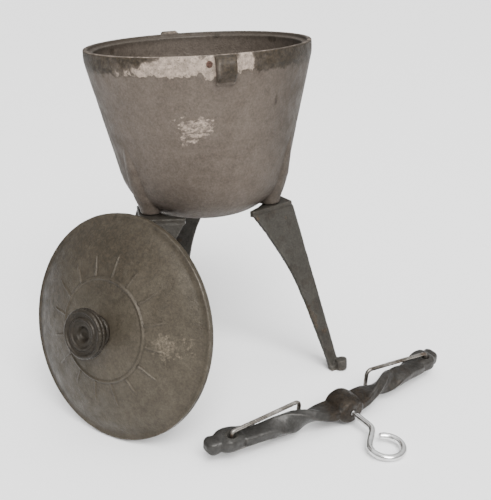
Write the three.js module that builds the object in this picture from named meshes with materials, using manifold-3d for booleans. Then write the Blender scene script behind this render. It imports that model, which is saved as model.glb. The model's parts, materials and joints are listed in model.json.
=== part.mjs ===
// Footed cast-iron pot with a clamp-down lid, taken apart as it is stored:
// the pot stands on three bolted-on legs, the domed lid stands on its rim in
// front of the left leg, and the clamp bar with its two wire bails and its
// eye screw lies on the floor in front.
// Units: mm.  Z is up.  The model is built around the pot axis and is moved
// as a whole at the end so that the origin is the bottom centre of its box.

import * as THREE from 'three';
import { mergeVertices } from 'three/addons/utils/BufferGeometryUtils.js';
import Module from 'manifold-3d';

const wasm = await Module();
wasm.setup();

// ---------------------------------------------------------------- dimensions
const GAP = 0.3; // clearance between pieces that touch

// pot
const RIM_Z = 302; // top of the ground rim
const RIM_R = 100; // outside radius at the rim
const SEAT_R = 95.4; // radius of the rebate the lid drops into
const SEAT_DEPTH = 3; // depth of that rebate
const BORE_R = 91.6; // inside radius under the seat
const POT_SEGS = 56;
const POT_OUTER = [
  // radius, height: from the middle of the bottom up to the rim
  [0, 148], [16, 148.4], [31, 150.6], [45, 155], [57, 162], [66, 170],
  [72, 179], [76.4, 190.5], [81, 210], [85.5, 230], [90.1, 250],
  [94.8, 270], [98.2, 285], [99.6, 291], [RIM_R, 295], [RIM_R, RIM_Z - 0.8],
];

// lugs for the clamp bails
const LUG_ANGLES = [-78, 105.5]; // degrees around the pot axis
const LUG_OUT = 108.5; // radius of the lug's outer face
const LUG_HALF_W = 8;
const LUG_LOW = 286;
const LUG_HIGH = [301.2, 304.5]; // top of the front and of the back lug

// bosses and legs
const LEG_ANGLES = [-22, -142, 109]; // right, left, back
const BOSS_TURN = -1.5; // boss centre, degrees from the leg's own direction
const BOSS_R = 61.5; // radius of the boss centres on the pot
const BOSS_RAD = 9.5;
const BOSS_Z = 160; // underside of the bosses
const PLATE_TOP = BOSS_Z - GAP;
const PLATE_T = 5.5;
const PLATE_IN = 55.2; // inner edge of the plate, clear of the rounded bottom
const FLANGE_T = 5;
const RIDGE_TOP = [80.7, 8.5]; // ridge of the leg at the plate: out, sideways
const RIDGE_BOT = [125.6, 1.0]; // and at the floor
const FREE_A_TOP = [56.4, -32.8]; // free edge of the wide flange at the plate
const FREE_B_TOP = [52.5, 35.2]; // free edge of the narrow flange
const SCREW_R = 3.0; // leg screw, M6
const SCREW_HEAD_R = 5.6;

// lid
const LID_R = 93.5;
const LID_EDGE = 5; // thickness of the lid's edge
const LID_WALL = 5;
const LID_SEGS = 54;
const LID_CENTRE = [-78, -128.2, 91.9]; // middle of the top edge circle
const LID_AZ = -37.8; // direction the lid faces, degrees from -Y
const LID_TILT = 13.4; // it leans back by this much
const RING_R = 42; // raised ring on the dome
const RIBS = 16;
const RIB_IN = 43.6;
const RIB_OUT = 61;
const RIB_H = 0.9;
const RIB_HALF_W = 0.9;
const DOME = [
  // radius, height over the edge circle, from the middle outwards
  [0, 22.6], [10, 22.4], [20, 21.5], [30, 20.1], [40, 18.3], [50, 15.9],
  [60, 13.0], [70, 9.6], [78, 6.4], [84, 3.2], [87.5, 1.2], [90, 0.5],
];

// knob
const STUD_R = 3.4;
const KNOB_R = 20.4;
const KNOB_FACE = 42.6;
const KNOB_BASE = 22.6 + GAP;

// clamp
const CLAMP_AT = [103.9, -143.2, 14.6]; // middle of the bar's boss
const CLAMP_DIR = 32.2; // direction of the bar in plan
const CLAMP_DIP = 9.3; // the eye end of the screw points down this much
const HOLE_X = 106.5; // hole centres from the boss
const HOLE_R = 4.0;
const ARCH = 11; // the bar's ends sit this far below its middle
const HEAD = [
  // along the bar from the hole, half width, half thickness, shift in Z and Y
  [-28, 5.5, 3.4, 0.6, 0], [-19, 7.6, 4.0, -1.0, 0], [-11, 9, 4.8, -1.9, 0], [-8, 9.6, 5.7, -2.1, 0], [-4, 10.4, 6.1, -2.6, 0], [2, 10.8, 6.2, -3, 0], [5.5, 10.2, 6.1, -3.4, -0.2],
  [8.2, 8.8, 5.5, -4.2, -0.8], [9.8, 7.4, 5, -5, -1.2], [11.8, 7.3, 5.4, -5.7, -2], [14.6, 7.5, 5.9, -6.4, -2.6],
  [17.2, 6.5, 5.3, -6.6, -2.8], [19, 4.7, 4, -6.6, -2.8], [20, 2.7, 2.4, -6.6, -2.8],
];
const BAR_W = 20.5;
const BAR_T = 9.5;
const BOSS_W = 26;
const SCREW_BAR_R = 2.75; // eye screw wire
const EYE_R = 13.4; // mean radius of the eye
const EYE_AT = 58.5; // eye centre from the bar's middle
const EYE_SIDE = -6.6; // and this far to one side of the shank
const TIP_AT = -17;

// bails
const BAIL_WIRE = 1.75; // wire radius
const BAIL_LONG = 67.7; // hole axis to the far cross-piece
const BAIL_NEAR_H = 9.2; // half the loop's width in the hole
const BAIL_FAR_TOP = 12; // upper and lower side at the far end
const BAIL_FAR_LOW = 14;
const BAIL_FOLD = [1, 4]; // folded-in angle of the left and right bail

// ------------------------------------------------------------------- helpers
const V3 = (x, y, z) => new THREE.Vector3(x, y, z);
const rad = (d) => (d * Math.PI) / 180;

function toManifold(geometry) {
  const g0 = geometry.index ? geometry : geometry.clone();
  g0.deleteAttribute('normal');
  g0.deleteAttribute('uv');
  const g = mergeVertices(g0, 1e-5);
  // drop triangles that collapsed when the vertices were merged
  const idx = g.index.array;
  const keep = [];
  for (let i = 0; i < idx.length; i += 3) {
    const [a, b, c] = [idx[i], idx[i + 1], idx[i + 2]];
    if (a !== b && b !== c && a !== c) keep.push(a, b, c);
  }
  return new wasm.Manifold(
    new wasm.Mesh({
      numProp: 3,
      vertProperties: new Float32Array(g.attributes.position.array),
      triVerts: new Uint32Array(keep),
    }),
  );
}

function fromManifold(m) {
  const mesh = m.getMesh();
  const g = new THREE.BufferGeometry();
  g.setAttribute('position', new THREE.BufferAttribute(Float32Array.from(mesh.vertProperties), 3));
  g.setIndex(new THREE.BufferAttribute(Uint32Array.from(mesh.triVerts), 1));
  return g;
}

// solid of revolution around Z; points are [radius, height]
function lathe(points, segments) {
  const g = new THREE.LatheGeometry(points.map(([r, z]) => new THREE.Vector2(r, z)), segments);
  g.rotateX(Math.PI / 2); // Y becomes Z
  const m = toManifold(g);
  return m.volume() < 0 ? lathe([...points].reverse(), segments) : m;
}

function tf(m, matrix) {
  return m.transform(Array.from(matrix.elements));
}

function cyl(r, z0, z1, segments = 24, r1 = r) {
  const g = new THREE.CylinderGeometry(r1, r, z1 - z0, segments);
  g.rotateX(Math.PI / 2);
  g.translate(0, 0, (z0 + z1) / 2);
  return toManifold(g);
}

function box(x0, x1, y0, y1, z0, z1) {
  const g = new THREE.BoxGeometry(x1 - x0, y1 - y0, z1 - z0);
  g.translate((x0 + x1) / 2, (y0 + y1) / 2, (z0 + z1) / 2);
  return toManifold(g);
}

// closed skin over a row of loops with the same number of points each;
// the first and last loop are capped with a fan
function loft(loops, closed = false) {
  const n = loops[0].length;
  const pos = [];
  const idx = [];
  loops.forEach((loop) => loop.forEach((p) => pos.push(p.x, p.y, p.z)));
  const rows = loops.length;
  for (let i = 0; i < (closed ? rows : rows - 1); i += 1) {
    const j = (i + 1) % rows;
    for (let k = 0; k < n; k += 1) {
      const l = (k + 1) % n;
      idx.push(i * n + k, i * n + l, j * n + l, i * n + k, j * n + l, j * n + k);
    }
  }
  if (!closed) {
    for (const [row, flip] of [[0, true], [rows - 1, false]]) {
      const c = V3(0, 0, 0);
      loops[row].forEach((p) => c.add(p));
      c.multiplyScalar(1 / n);
      const ci = pos.length / 3;
      pos.push(c.x, c.y, c.z);
      for (let k = 0; k < n; k += 1) {
        const l = (k + 1) % n;
        if (flip) idx.push(ci, row * n + l, row * n + k);
        else idx.push(ci, row * n + k, row * n + l);
      }
    }
  }
  const g = new THREE.BufferGeometry();
  g.setAttribute('position', new THREE.BufferAttribute(new Float32Array(pos), 3));
  g.setIndex(idx);
  let m = toManifold(g);
  if (m.volume() < 0) {
    const flipped = [];
    for (let i = 0; i < idx.length; i += 3) flipped.push(idx[i], idx[i + 2], idx[i + 1]);
    g.setIndex(flipped);
    m = toManifold(g);
  }
  return m;
}

// round wire of radius r along a list of centre points (open or closed)
function wire(points, r, sides, closed = false) {
  const n = points.length;
  const loops = [];
  let ref = null;
  for (let i = 0; i < n; i += 1) {
    const a = closed ? points[(i - 1 + n) % n] : points[Math.max(0, i - 1)];
    const b = closed ? points[(i + 1) % n] : points[Math.min(n - 1, i + 1)];
    const t = b.clone().sub(a).normalize();
    if (ref === null) {
      ref = Math.abs(t.z) < 0.9 ? V3(0, 0, 1) : V3(1, 0, 0);
      ref.sub(t.clone().multiplyScalar(ref.dot(t))).normalize();
    } else {
      ref.sub(t.clone().multiplyScalar(ref.dot(t))).normalize();
    }
    const s = t.clone().cross(ref);
    const loop = [];
    for (let k = 0; k < sides; k += 1) {
      const q = (k / sides) * 2 * Math.PI + Math.PI / sides;
      loop.push(points[i].clone().addScaledVector(ref, r * Math.cos(q)).addScaledVector(s, r * Math.sin(q)));
    }
    loops.push(loop);
  }
  return loft(loops, closed);
}

function prism(outline, z0, z1) {
  // outline: [x, y] corners, counter-clockwise
  const shape = new THREE.Shape(outline.map(([x, y]) => new THREE.Vector2(x, y)));
  const g = new THREE.ExtrudeGeometry(shape, { depth: z1 - z0, bevelEnabled: false });
  g.translate(0, 0, z0);
  return toManifold(g);
}

const union = (list) => list.reduce((a, b) => a.add(b));
const lerp = (a, b, t) => a + (b - a) * t;
const mix2 = (p, q, t) => [lerp(p[0], q[0], t), lerp(p[1], q[1], t)];

const group = new THREE.Group();
group.name = 'footed_clamp_pot';

function piece(name, manifold, colour, roughness, metalness) {
  const material = new THREE.MeshStandardMaterial({ color: colour, roughness, metalness });
  material.name = name + '_finish';
  const mesh = new THREE.Mesh(fromManifold(manifold), material);
  mesh.name = name;
  group.add(mesh);
  return mesh;
}

// ----------------------------------------------------------------- pot body
// radius of the outside wall at a height
function outerR(z) {
  for (let i = POT_OUTER.length - 1; i > 0; i -= 1) {
    const [r1, z1] = POT_OUTER[i];
    const [r0, z0] = POT_OUTER[i - 1];
    if (z <= z1 && z >= z0) return lerp(r0, r1, (z - z0) / (z1 - z0));
  }
  return RIM_R;
}

const POT_INNER = [
  // radius, height: from the seat down to the middle of the inside
  [BORE_R, 284],
  [90.1, 271],
  [85.2, 250],
  [80.4, 230],
  [75.8, 210],
  [71.2, 191],
  [66.8, 181.5],
  [61.4, 174.6],
  [53, 167.2],
  [42.5, 160.4],
  [30, 156],
  [16, 153.9],
  [0, 153.5],
];
let pot = lathe([
  ...POT_OUTER,
  [RIM_R - 0.8, RIM_Z],
  [SEAT_R, RIM_Z],
  [SEAT_R, RIM_Z - SEAT_DEPTH],
  [BORE_R, RIM_Z - SEAT_DEPTH],
  ...POT_INNER,
], POT_SEGS);
const potHollow = lathe([[0, RIM_Z + 20], [BORE_R, RIM_Z + 20], ...POT_INNER], POT_SEGS);

// lugs: a chamfered block on the rim band, under-cut so a wire can hook on
LUG_ANGLES.forEach((deg, i) => {
  const top = LUG_HIGH[i];
  const side = [
    [94, LUG_LOW - 9], [99.5, LUG_LOW - 7], [LUG_OUT - 1.5, LUG_LOW], [LUG_OUT, LUG_LOW + 1.5],
    [LUG_OUT, top - 5], [LUG_OUT - 4.5, top], [99, top], [94, top - 1.5],
  ];
  const shape = side.map(([r, z]) => [r, z]);
  let m = prism(shape, -LUG_HALF_W, LUG_HALF_W); // x = radius, y = height, z = width
  const mat = new THREE.Matrix4().makeRotationX(Math.PI / 2); // y -> z
  m = tf(m, mat);
  m = tf(m, new THREE.Matrix4().makeRotationZ(rad(deg)));
  // keep the lid's rebate and the bore clear
  m = m.subtract(lathe([[0, LUG_LOW - 40], [97.2, LUG_LOW - 40], [97.2, RIM_Z + 20], [0, RIM_Z + 20]], POT_SEGS));
  pot = pot.add(m);
});

// leg bosses: a round pad under the body that runs up into the wall as a rib
LEG_ANGLES.forEach((deg) => {
  const loops = [];
  const N = 20;
  const steps = [[BOSS_Z, 1, 0], [BOSS_Z + 5, 1.03, 0.4], [BOSS_Z + 15, 1.25, 2.4], [BOSS_Z + 28, 1.38, 5.2], [BOSS_Z + 44, 1.2, 9.6], [BOSS_Z + 60, 0.8, 14.8]];
  steps.forEach(([z, k, out]) => {
    const loop = [];
    for (let i = 0; i < N; i += 1) {
      const q = (i / N) * 2 * Math.PI;
      loop.push(V3(BOSS_R + out + BOSS_RAD * k * Math.cos(q), BOSS_RAD * k * Math.sin(q), z));
    }
    loops.push(loop);
  });
  let m = loft(loops);
  m = tf(m, new THREE.Matrix4().makeRotationZ(rad(deg + BOSS_TURN)));
  pot = pot.add(m);
});
// keep the inside of the pot clear of the bosses
pot = pot.subtract(potHollow);
// tapped holes for the leg screws
LEG_ANGLES.forEach((deg) => {
  const a = rad(deg + BOSS_TURN);
  const hole = cyl(SCREW_R + GAP, BOSS_Z - 1, BOSS_Z + 7.2, 16);
  pot = pot.subtract(tf(hole, new THREE.Matrix4().makeTranslation(BOSS_R * Math.cos(a), BOSS_R * Math.sin(a), 0)));
});
piece('pot_body', pot, 0x6f655c, 0.72, 0.55);

// --------------------------------------------------------------------- legs
// Angle-section casting: two flanges meet in an outside ridge, a top plate
// takes the screw, and the ridge ends in a toe turned outwards.
// width of the two flanges down the leg, as a share of the width at the top
const TAPER = [
  // height, share of the wide flange, share of the narrow flange
  [154, 0.97, 1], [147, 0.905, 0.93], [139, 0.815, 0.84], [130, 0.735, 0.77], [120, 0.645, 0.68],
  [108, 0.55, 0.58], [96, 0.475, 0.51], [84, 0.42, 0.46], [66, 0.36, 0.41], [46, 0.312, 0.37],
  [26, 0.268, 0.33], [10, 0.24, 0.31],
];

function legSection(z, ka, kb) {
  const t = (PLATE_TOP - z) / PLATE_TOP;
  const ridge = mix2(RIDGE_TOP, RIDGE_BOT, t);
  const da = [FREE_A_TOP[0] - RIDGE_TOP[0], FREE_A_TOP[1] - RIDGE_TOP[1]];
  const db = [FREE_B_TOP[0] - RIDGE_TOP[0], FREE_B_TOP[1] - RIDGE_TOP[1]];
  const la = Math.hypot(...da);
  const lb = Math.hypot(...db);
  const ua = [da[0] / la, da[1] / la];
  const ub = [db[0] / lb, db[1] / lb];
  // inward normals of the flanges
  const na = [ua[1], -ua[0]].map((v) => v * Math.sign(ua[1] * ub[0] - ua[0] * ub[1] || 1));
  const nb = [-ub[1], ub[0]].map((v) => v * Math.sign(ua[1] * ub[0] - ua[0] * ub[1] || 1));
  const A = [ridge[0] + ua[0] * la * ka, ridge[1] + ua[1] * la * ka];
  const B = [ridge[0] + ub[0] * lb * kb, ridge[1] + ub[1] * lb * kb];
  // inner corner: intersection of the two inner lines
  const pa = [ridge[0] + na[0] * FLANGE_T, ridge[1] + na[1] * FLANGE_T];
  const pb = [ridge[0] + nb[0] * FLANGE_T, ridge[1] + nb[1] * FLANGE_T];
  const det = ua[0] * -ub[1] - -ub[0] * ua[1];
  const s = ((pb[0] - pa[0]) * -ub[1] - -ub[0] * (pb[1] - pa[1])) / det;
  const inner = [pa[0] + ua[0] * s, pa[1] + ua[1] * s];
  const A2 = [A[0] + na[0] * FLANGE_T, A[1] + na[1] * FLANGE_T];
  const B2 = [B[0] + nb[0] * FLANGE_T, B[1] + nb[1] * FLANGE_T];
  // blunt the ridge
  const c = 1.6;
  const ra = [ridge[0] + ua[0] * c, ridge[1] + ua[1] * c];
  const rb = [ridge[0] + ub[0] * c, ridge[1] + ub[1] * c];
  return { loop: [A, ra, rb, B, B2, inner, A2], ridge, ua, ub, A, B, A2, B2, inner };
}

function makeLeg() {
  const rows = [[PLATE_TOP - PLATE_T + 1, 0.985, 1], ...TAPER.slice(1), [0, 0.235, 0.3]];
  const loops = rows.map(([z, ka, kb]) => legSection(z, ka, kb).loop.map(([x, y]) => V3(x, y, z)));
  let leg = loftConcave(loops);
  // top plate between the flanges
  const s = legSection(PLATE_TOP, 1, 1);
  const plate = [s.A, s.loop[1], s.loop[2], s.B, s.B2, [PLATE_IN, 21], [PLATE_IN, -17], s.A2];
  leg = leg.add(prism(order(plate), PLATE_TOP - PLATE_T, PLATE_TOP));
  // sole and toe
  const f = legSection(0, 0.235, 0.3);
  const sole = [f.A, f.loop[1], f.loop[2], f.B, f.B2, f.A2];
  leg = leg.add(prism(order(sole), 0, 5));
  const toeC = [RIDGE_BOT[0] + 0.9, RIDGE_BOT[1] - 1.6];
  const toe = [];
  for (let i = 0; i < 12; i += 1) {
    const q = (i / 12) * 2 * Math.PI + Math.PI / 12;
    toe.push([toeC[0] + 5.4 * Math.cos(q), toeC[1] + 6.2 * Math.sin(q)]);
  }
  const t = prism(toe, 0.8, 10.5);
  const web = prism([[RIDGE_BOT[0] - 8, toeC[1] - 4.4], [toeC[0], toeC[1] - 4.8], [toeC[0], toeC[1] + 4.8], [RIDGE_BOT[0] - 8, toeC[1] + 4.4]], 0, 8);
  leg = leg.add(t).add(web);
  // clear hole for the screw
  const a = rad(BOSS_TURN);
  leg = leg.subtract(tf(cyl(SCREW_R + GAP, PLATE_TOP - 20, PLATE_TOP + 5, 16), new THREE.Matrix4().makeTranslation(BOSS_R * Math.cos(a), BOSS_R * Math.sin(a), 0)));
  return leg;
}

// counter-clockwise copy of an outline
function order(outline) {
  let area = 0;
  outline.forEach(([x, y], i) => {
    const [x2, y2] = outline[(i + 1) % outline.length];
    area += x * y2 - x2 * y;
  });
  return area > 0 ? outline : [...outline].reverse();
}

// loft whose end loops need not be convex: the caps come from a shape
function loftConcave(loops) {
  const n = loops[0].length;
  const pos = [];
  const idx = [];
  loops.forEach((loop) => loop.forEach((p) => pos.push(p.x, p.y, p.z)));
  const rows = loops.length;
  for (let i = 0; i < rows - 1; i += 1) {
    for (let k = 0; k < n; k += 1) {
      const l = (k + 1) % n;
      idx.push(i * n + k, i * n + l, (i + 1) * n + l, i * n + k, (i + 1) * n + l, (i + 1) * n + k);
    }
  }
  for (const [row, flip] of [[0, true], [rows - 1, false]]) {
    const contour = loops[row].map((p) => new THREE.Vector2(p.x, p.y));
    THREE.ShapeUtils.triangulateShape(contour, []).forEach(([a, b, c]) => {
      if (flip) idx.push(row * n + a, row * n + c, row * n + b);
      else idx.push(row * n + a, row * n + b, row * n + c);
    });
  }
  const build = (list) => {
    const g = new THREE.BufferGeometry();
    g.setAttribute('position', new THREE.BufferAttribute(new Float32Array(pos), 3));
    g.setIndex(list);
    return toManifold(g);
  };
  let m = build(idx);
  if (m.volume() < 0) {
    const flipped = [];
    for (let i = 0; i < idx.length; i += 3) flipped.push(idx[i], idx[i + 2], idx[i + 1]);
    m = build(flipped);
  }
  return m;
}

const legModel = makeLeg();
const LEG_NAMES = ['leg_right', 'leg_left', 'leg_back'];
LEG_ANGLES.forEach((deg, i) => {
  piece(LEG_NAMES[i], tf(legModel, new THREE.Matrix4().makeRotationZ(rad(deg))), 0x6c655a, 0.75, 0.5);
});

// leg screws: pan head under the plate, shank up into the boss
function makeLegScrew() {
  const top = BOSS_Z + 6.2;
  const under = PLATE_TOP - PLATE_T - GAP;
  let m = lathe([[0, under - 4.2], [3.4, under - 4], [5, under - 3], [SCREW_HEAD_R, under - 1.2], [SCREW_HEAD_R, under], [SCREW_R, under], [SCREW_R, top - 1], [SCREW_R - 1, top], [0, top]], 16);
  m = m.subtract(box(-8, 8, -0.6, 0.6, under - 6, under - 2.6)); // driver slot
  return m;
}
const screwModel = makeLegScrew();
['leg_screw_right', 'leg_screw_left', 'leg_screw_back'].forEach((name, i) => {
  const a = rad(LEG_ANGLES[i] + BOSS_TURN);
  const m = new THREE.Matrix4().makeTranslation(BOSS_R * Math.cos(a), BOSS_R * Math.sin(a), 0)
    .multiply(new THREE.Matrix4().makeRotationZ(a + 0.7 * i));
  piece(name, tf(screwModel, m), 0x5a534b, 0.6, 0.8);
});

// ---------------------------------------------------------------------- lid
// Built lying flat with its edge circle at height 0 and its knob up.
function lidHeight(r) {
  for (let i = 1; i < DOME.length; i += 1) {
    if (r <= DOME[i][0]) return lerp(DOME[i - 1][1], DOME[i][1], (r - DOME[i - 1][0]) / (DOME[i][0] - DOME[i - 1][0]));
  }
  return 0;
}
const lidOuter = [...DOME.slice(0, 5), [RING_R - 1.4, lidHeight(RING_R - 1.4)], [RING_R - 0.7, lidHeight(RING_R) + 0.9],
  [RING_R + 0.4, lidHeight(RING_R) + 0.9], [RING_R + 1.3, lidHeight(RING_R + 1.3)], ...DOME.slice(5)];
const lidProfile = [
  ...lidOuter.reverse(), // from the edge to the middle, then back underneath
];
const lidUnder = [
  [0, 22.6 - LID_WALL], [20, 21.5 - LID_WALL], [40, 18.3 - LID_WALL], [60, 13.0 - LID_WALL], [74, 7.8 - LID_WALL],
  [82, 0.4], [85, -2.4], [85, -LID_EDGE], [LID_R - 1, -LID_EDGE], [LID_R, -LID_EDGE + 1], [LID_R, -1], [LID_R - 1, -0.1],
];
let lid = lathe([[0, 22.6 - LID_WALL], ...lidUnder.slice(1), ...lidProfile], LID_SEGS);
// sixteen low ribs around the ring
for (let i = 0; i < RIBS; i += 1) {
  const steps = 5;
  const loops = [];
  for (let k = 0; k <= steps; k += 1) {
    const r = lerp(RIB_IN, RIB_OUT, k / steps);
    const z = lidHeight(r);
    const hgt = RIB_H * (k === steps ? 0.35 : 1);
    const w = RIB_HALF_W * (k === steps ? 0.5 : 1);
    loops.push([V3(r, -w - 0.2, z - 1.2), V3(r, w + 0.2, z - 1.2), V3(r, w, z + hgt * 0.6), V3(r, 0, z + hgt), V3(r, -w, z + hgt * 0.6)]);
  }
  lid = lid.add(tf(loft(loops), new THREE.Matrix4().makeRotationZ((i / RIBS) * 2 * Math.PI + 0.28)));
}
lid = lid.subtract(cyl(STUD_R + GAP, 0, 40, 20));

// knob: base bead, neck, beaded head with a hollow for the screw tip, and
// its own stud down through the lid
const knobModel = lathe([
  [0, 8.6], [STUD_R - 0.8, 8.6], [STUD_R, 9.4], [STUD_R, KNOB_BASE], [11.6, KNOB_BASE], [13.2, KNOB_BASE + 1], [13.6, KNOB_BASE + 2.4],
  [12.8, KNOB_BASE + 4], [10.4, KNOB_BASE + 5], [8.8, KNOB_BASE + 7], [9.2, KNOB_BASE + 9.4], [14, KNOB_BASE + 11],
  [18.6, KNOB_BASE + 11.8], [20.2, KNOB_BASE + 13.2], [KNOB_R, KNOB_BASE + 16], [19.8, KNOB_FACE - 1],
  [18.6, KNOB_FACE], [17.2, KNOB_FACE], [16.2, KNOB_FACE - 1.1], [13.6, KNOB_FACE - 1.3], [12.8, KNOB_FACE - 0.3],
  [11.4, KNOB_FACE - 0.2], [10.4, KNOB_FACE - 1.3], [7.2, KNOB_FACE - 1.5], [6.2, KNOB_FACE - 2.2], [4.6, KNOB_FACE - 5.2], [0, KNOB_FACE - 5.8],
], 30);

const nutModel = (() => {
  const top = 22.6 - LID_WALL - GAP - 0.2;
  const g = new THREE.CylinderGeometry(7.6, 7.6, 5, 6);
  g.rotateX(Math.PI / 2);
  g.translate(0, 0, top - 2.5);
  return toManifold(g).subtract(cyl(STUD_R + GAP, 0, 40, 20));
})();

// pose of the standing lid: its face looks forward-left and slightly up
const lidN = V3(
  Math.cos(rad(LID_TILT)) * Math.sin(rad(LID_AZ)),
  -Math.cos(rad(LID_TILT)) * Math.cos(rad(LID_AZ)),
  Math.sin(rad(LID_TILT)),
);
const lidX = V3(0, 0, 1).cross(lidN).normalize();
const lidY = lidN.clone().cross(lidX);
const lidM = new THREE.Matrix4().makeBasis(lidX, lidY, lidN).setPosition(...LID_CENTRE);
piece('lid', tf(lid, lidM), 0x6e6456, 0.7, 0.55);
piece('lid_knob', tf(knobModel, lidM), 0x655b4d, 0.62, 0.6);
piece('knob_nut', tf(nutModel, lidM), 0x5a534b, 0.6, 0.8);

// -------------------------------------------------------------------- clamp
// Own frame: X along the bar, Z along the screw towards its eye, Y across.
const cu = V3(Math.cos(rad(CLAMP_DIR)), Math.sin(rad(CLAMP_DIR)), 0);
const ch = V3(Math.sin(rad(CLAMP_DIR)), -Math.cos(rad(CLAMP_DIR)), 0);
const cz = ch.clone().multiplyScalar(Math.cos(rad(CLAMP_DIP))).add(V3(0, 0, -Math.sin(rad(CLAMP_DIP))));
const cy = cz.clone().cross(cu);
const clampM = new THREE.Matrix4().makeBasis(cu, cy, cz).setPosition(...CLAMP_AT);

// height of the bar's centre line: flat boss, ends bowed towards the pot
const archAt = (x) => -ARCH * Math.min(1, (Math.max(0, Math.abs(x) - 10) / (HOLE_X - 10)) ** 1.35);
// the arms also bow a little sideways, the right one more than the left
const ease = (a, b, x) => {
  const t = Math.min(1, Math.max(0, (x - a) / (b - a)));
  return t * t * (3 - 2 * t);
};
const bowAt = (x) => (x > 0 ? 2.8 : 1.6) * ease(8, 40, Math.abs(x)) * (1 - ease(60, 95, Math.abs(x)));
function barLoop(x, w, t, twist) {
  const loop = [];
  const pts = [[w / 2 - 2.2, t / 2], [-w / 2 + 2.2, t / 2], [-w / 2, t / 2 - 2.2], [-w / 2, -t / 2 + 2.2], [-w / 2 + 2.2, -t / 2], [w / 2 - 2.2, -t / 2], [w / 2, -t / 2 + 2.2], [w / 2, t / 2 - 2.2]];
  const c = Math.cos(twist);
  const s = Math.sin(twist);
  // untwisted: the wide side lies across the screw axis, in Z; Y is thin
  pts.forEach(([a, b]) => loop.push(V3(x, bowAt(x) + a * s + b * c, archAt(x) + a * c - b * s)));
  return loop;
}
function makeBar() {
  const loops = [];
  const N = 44;
  const X1 = HOLE_X - 8.5;
  for (let i = 0; i <= N; i += 1) {
    const x = lerp(-X1, X1, i / N);
    const a = Math.abs(x);
    // half a turn of twist in each arm between the boss and the head
    const q = Math.min(1, Math.max(0, (a - 14) / (HOLE_X - 24 - 14)));
    const twist = Math.PI * (q * q * (3 - 2 * q));
    const taper = 1 - 0.26 * q;
    loops.push(barLoop(x, BAR_W * taper, BAR_T * (1 - 0.06 * q), twist));
  }
  let bar = loft(loops);
  // boss round the screw
  const bossProfile = [[0, -12.5], [9.4, -12.5], [11.8, -10.5], [BOSS_W / 2, -5], [BOSS_W / 2, 5], [11.6, 10.5], [9, 12.5], [0, 12.5]];
  let boss = lathe(bossProfile, 20);
  boss = tf(boss, new THREE.Matrix4().makeScale(1.1, 0.92, 1));
  bar = bar.add(boss);
  // heads
  for (const sgn of [-1, 1]) {
    const rows = HEAD.map(([dx, hw, ht, dz, dy]) => {
      const loop = [];
      for (let k = 0; k < 16; k += 1) {
        const a = ((k + 0.5) / 16) * 2 * Math.PI;
        const e = 0.45; // rounded rectangle
        const ca = Math.cos(a);
        const sa = Math.sin(a);
        loop.push(V3(sgn * (HOLE_X + dx), dy + ht * Math.sign(sa) * Math.abs(sa) ** e, -ARCH + dz + hw * Math.sign(ca) * Math.abs(ca) ** e));
      }
      return loop;
    });
    bar = bar.add(loft(rows));
  }
  for (const sgn of [-1, 1]) {
    const hole = tf(cyl(HOLE_R, -20, 20, 16), new THREE.Matrix4().makeTranslation(sgn * HOLE_X, 0, -ARCH).multiply(new THREE.Matrix4().makeRotationX(Math.PI / 2)));
    bar = bar.subtract(hole);
  }
  bar = bar.subtract(cyl(SCREW_BAR_R + GAP + 0.05, -20, 20, 16));
  return bar;
}
piece('clamp_bar', tf(makeBar(), clampM), 0x5f564d, 0.7, 0.6);

// bails: closed wire loops through the heads' holes, wider at the far end
function bailPoints() {
  // loop in its own plane: X from the hole outwards, Y across
  const corners = [
    [BAIL_LONG, BAIL_FAR_TOP, 4.5], [0, BAIL_NEAR_H, 2.6], [0, -BAIL_NEAR_H, 2.6], [BAIL_LONG, -BAIL_FAR_LOW, 4.5],
  ].map(([x, y, r]) => ({ p: new THREE.Vector2(x, y), r }));
  const pts = [];
  corners.forEach(({ p, r }, i) => {
    const prev = corners[(i + 3) % 4].p;
    const next = corners[(i + 1) % 4].p;
    const a = prev.clone().sub(p).normalize();
    const b = next.clone().sub(p).normalize();
    const half = Math.acos(a.dot(b)) / 2;
    const reach = r / Math.tan(half);
    const mid = a.clone().add(b).normalize().multiplyScalar(r / Math.sin(half)).add(p);
    const from = p.clone().addScaledVector(a, reach).sub(mid);
    const to = p.clone().addScaledVector(b, reach).sub(mid);
    for (let k = 0; k <= 4; k += 1) {
      const w = from.clone().multiplyScalar(1 - k / 4).addScaledVector(to, k / 4).normalize().multiplyScalar(r);
      pts.push(V3(mid.x + w.x, mid.y + w.y, 0));
    }
  });
  return pts;
}
const bailModel = wire(bailPoints(), BAIL_WIRE, 8, true);
[-1, 1].forEach((sgn, i) => {
  // folded in: the loop points back towards the boss, a little below the bar
  const fold = rad(BAIL_FOLD[i]);
  const dir = V3(-sgn * Math.cos(fold), 0, -Math.sin(fold));
  const yy = V3(0, 1, 0);
  const zz = dir.clone().cross(yy);
  const m = new THREE.Matrix4().makeBasis(dir, yy, zz).setPosition(sgn * HOLE_X, 0, -ARCH);
  piece(i === 0 ? 'bail_left' : 'bail_right', tf(bailModel, clampM.clone().multiply(m)), 0x97918a, 0.42, 0.9);
});

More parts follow.
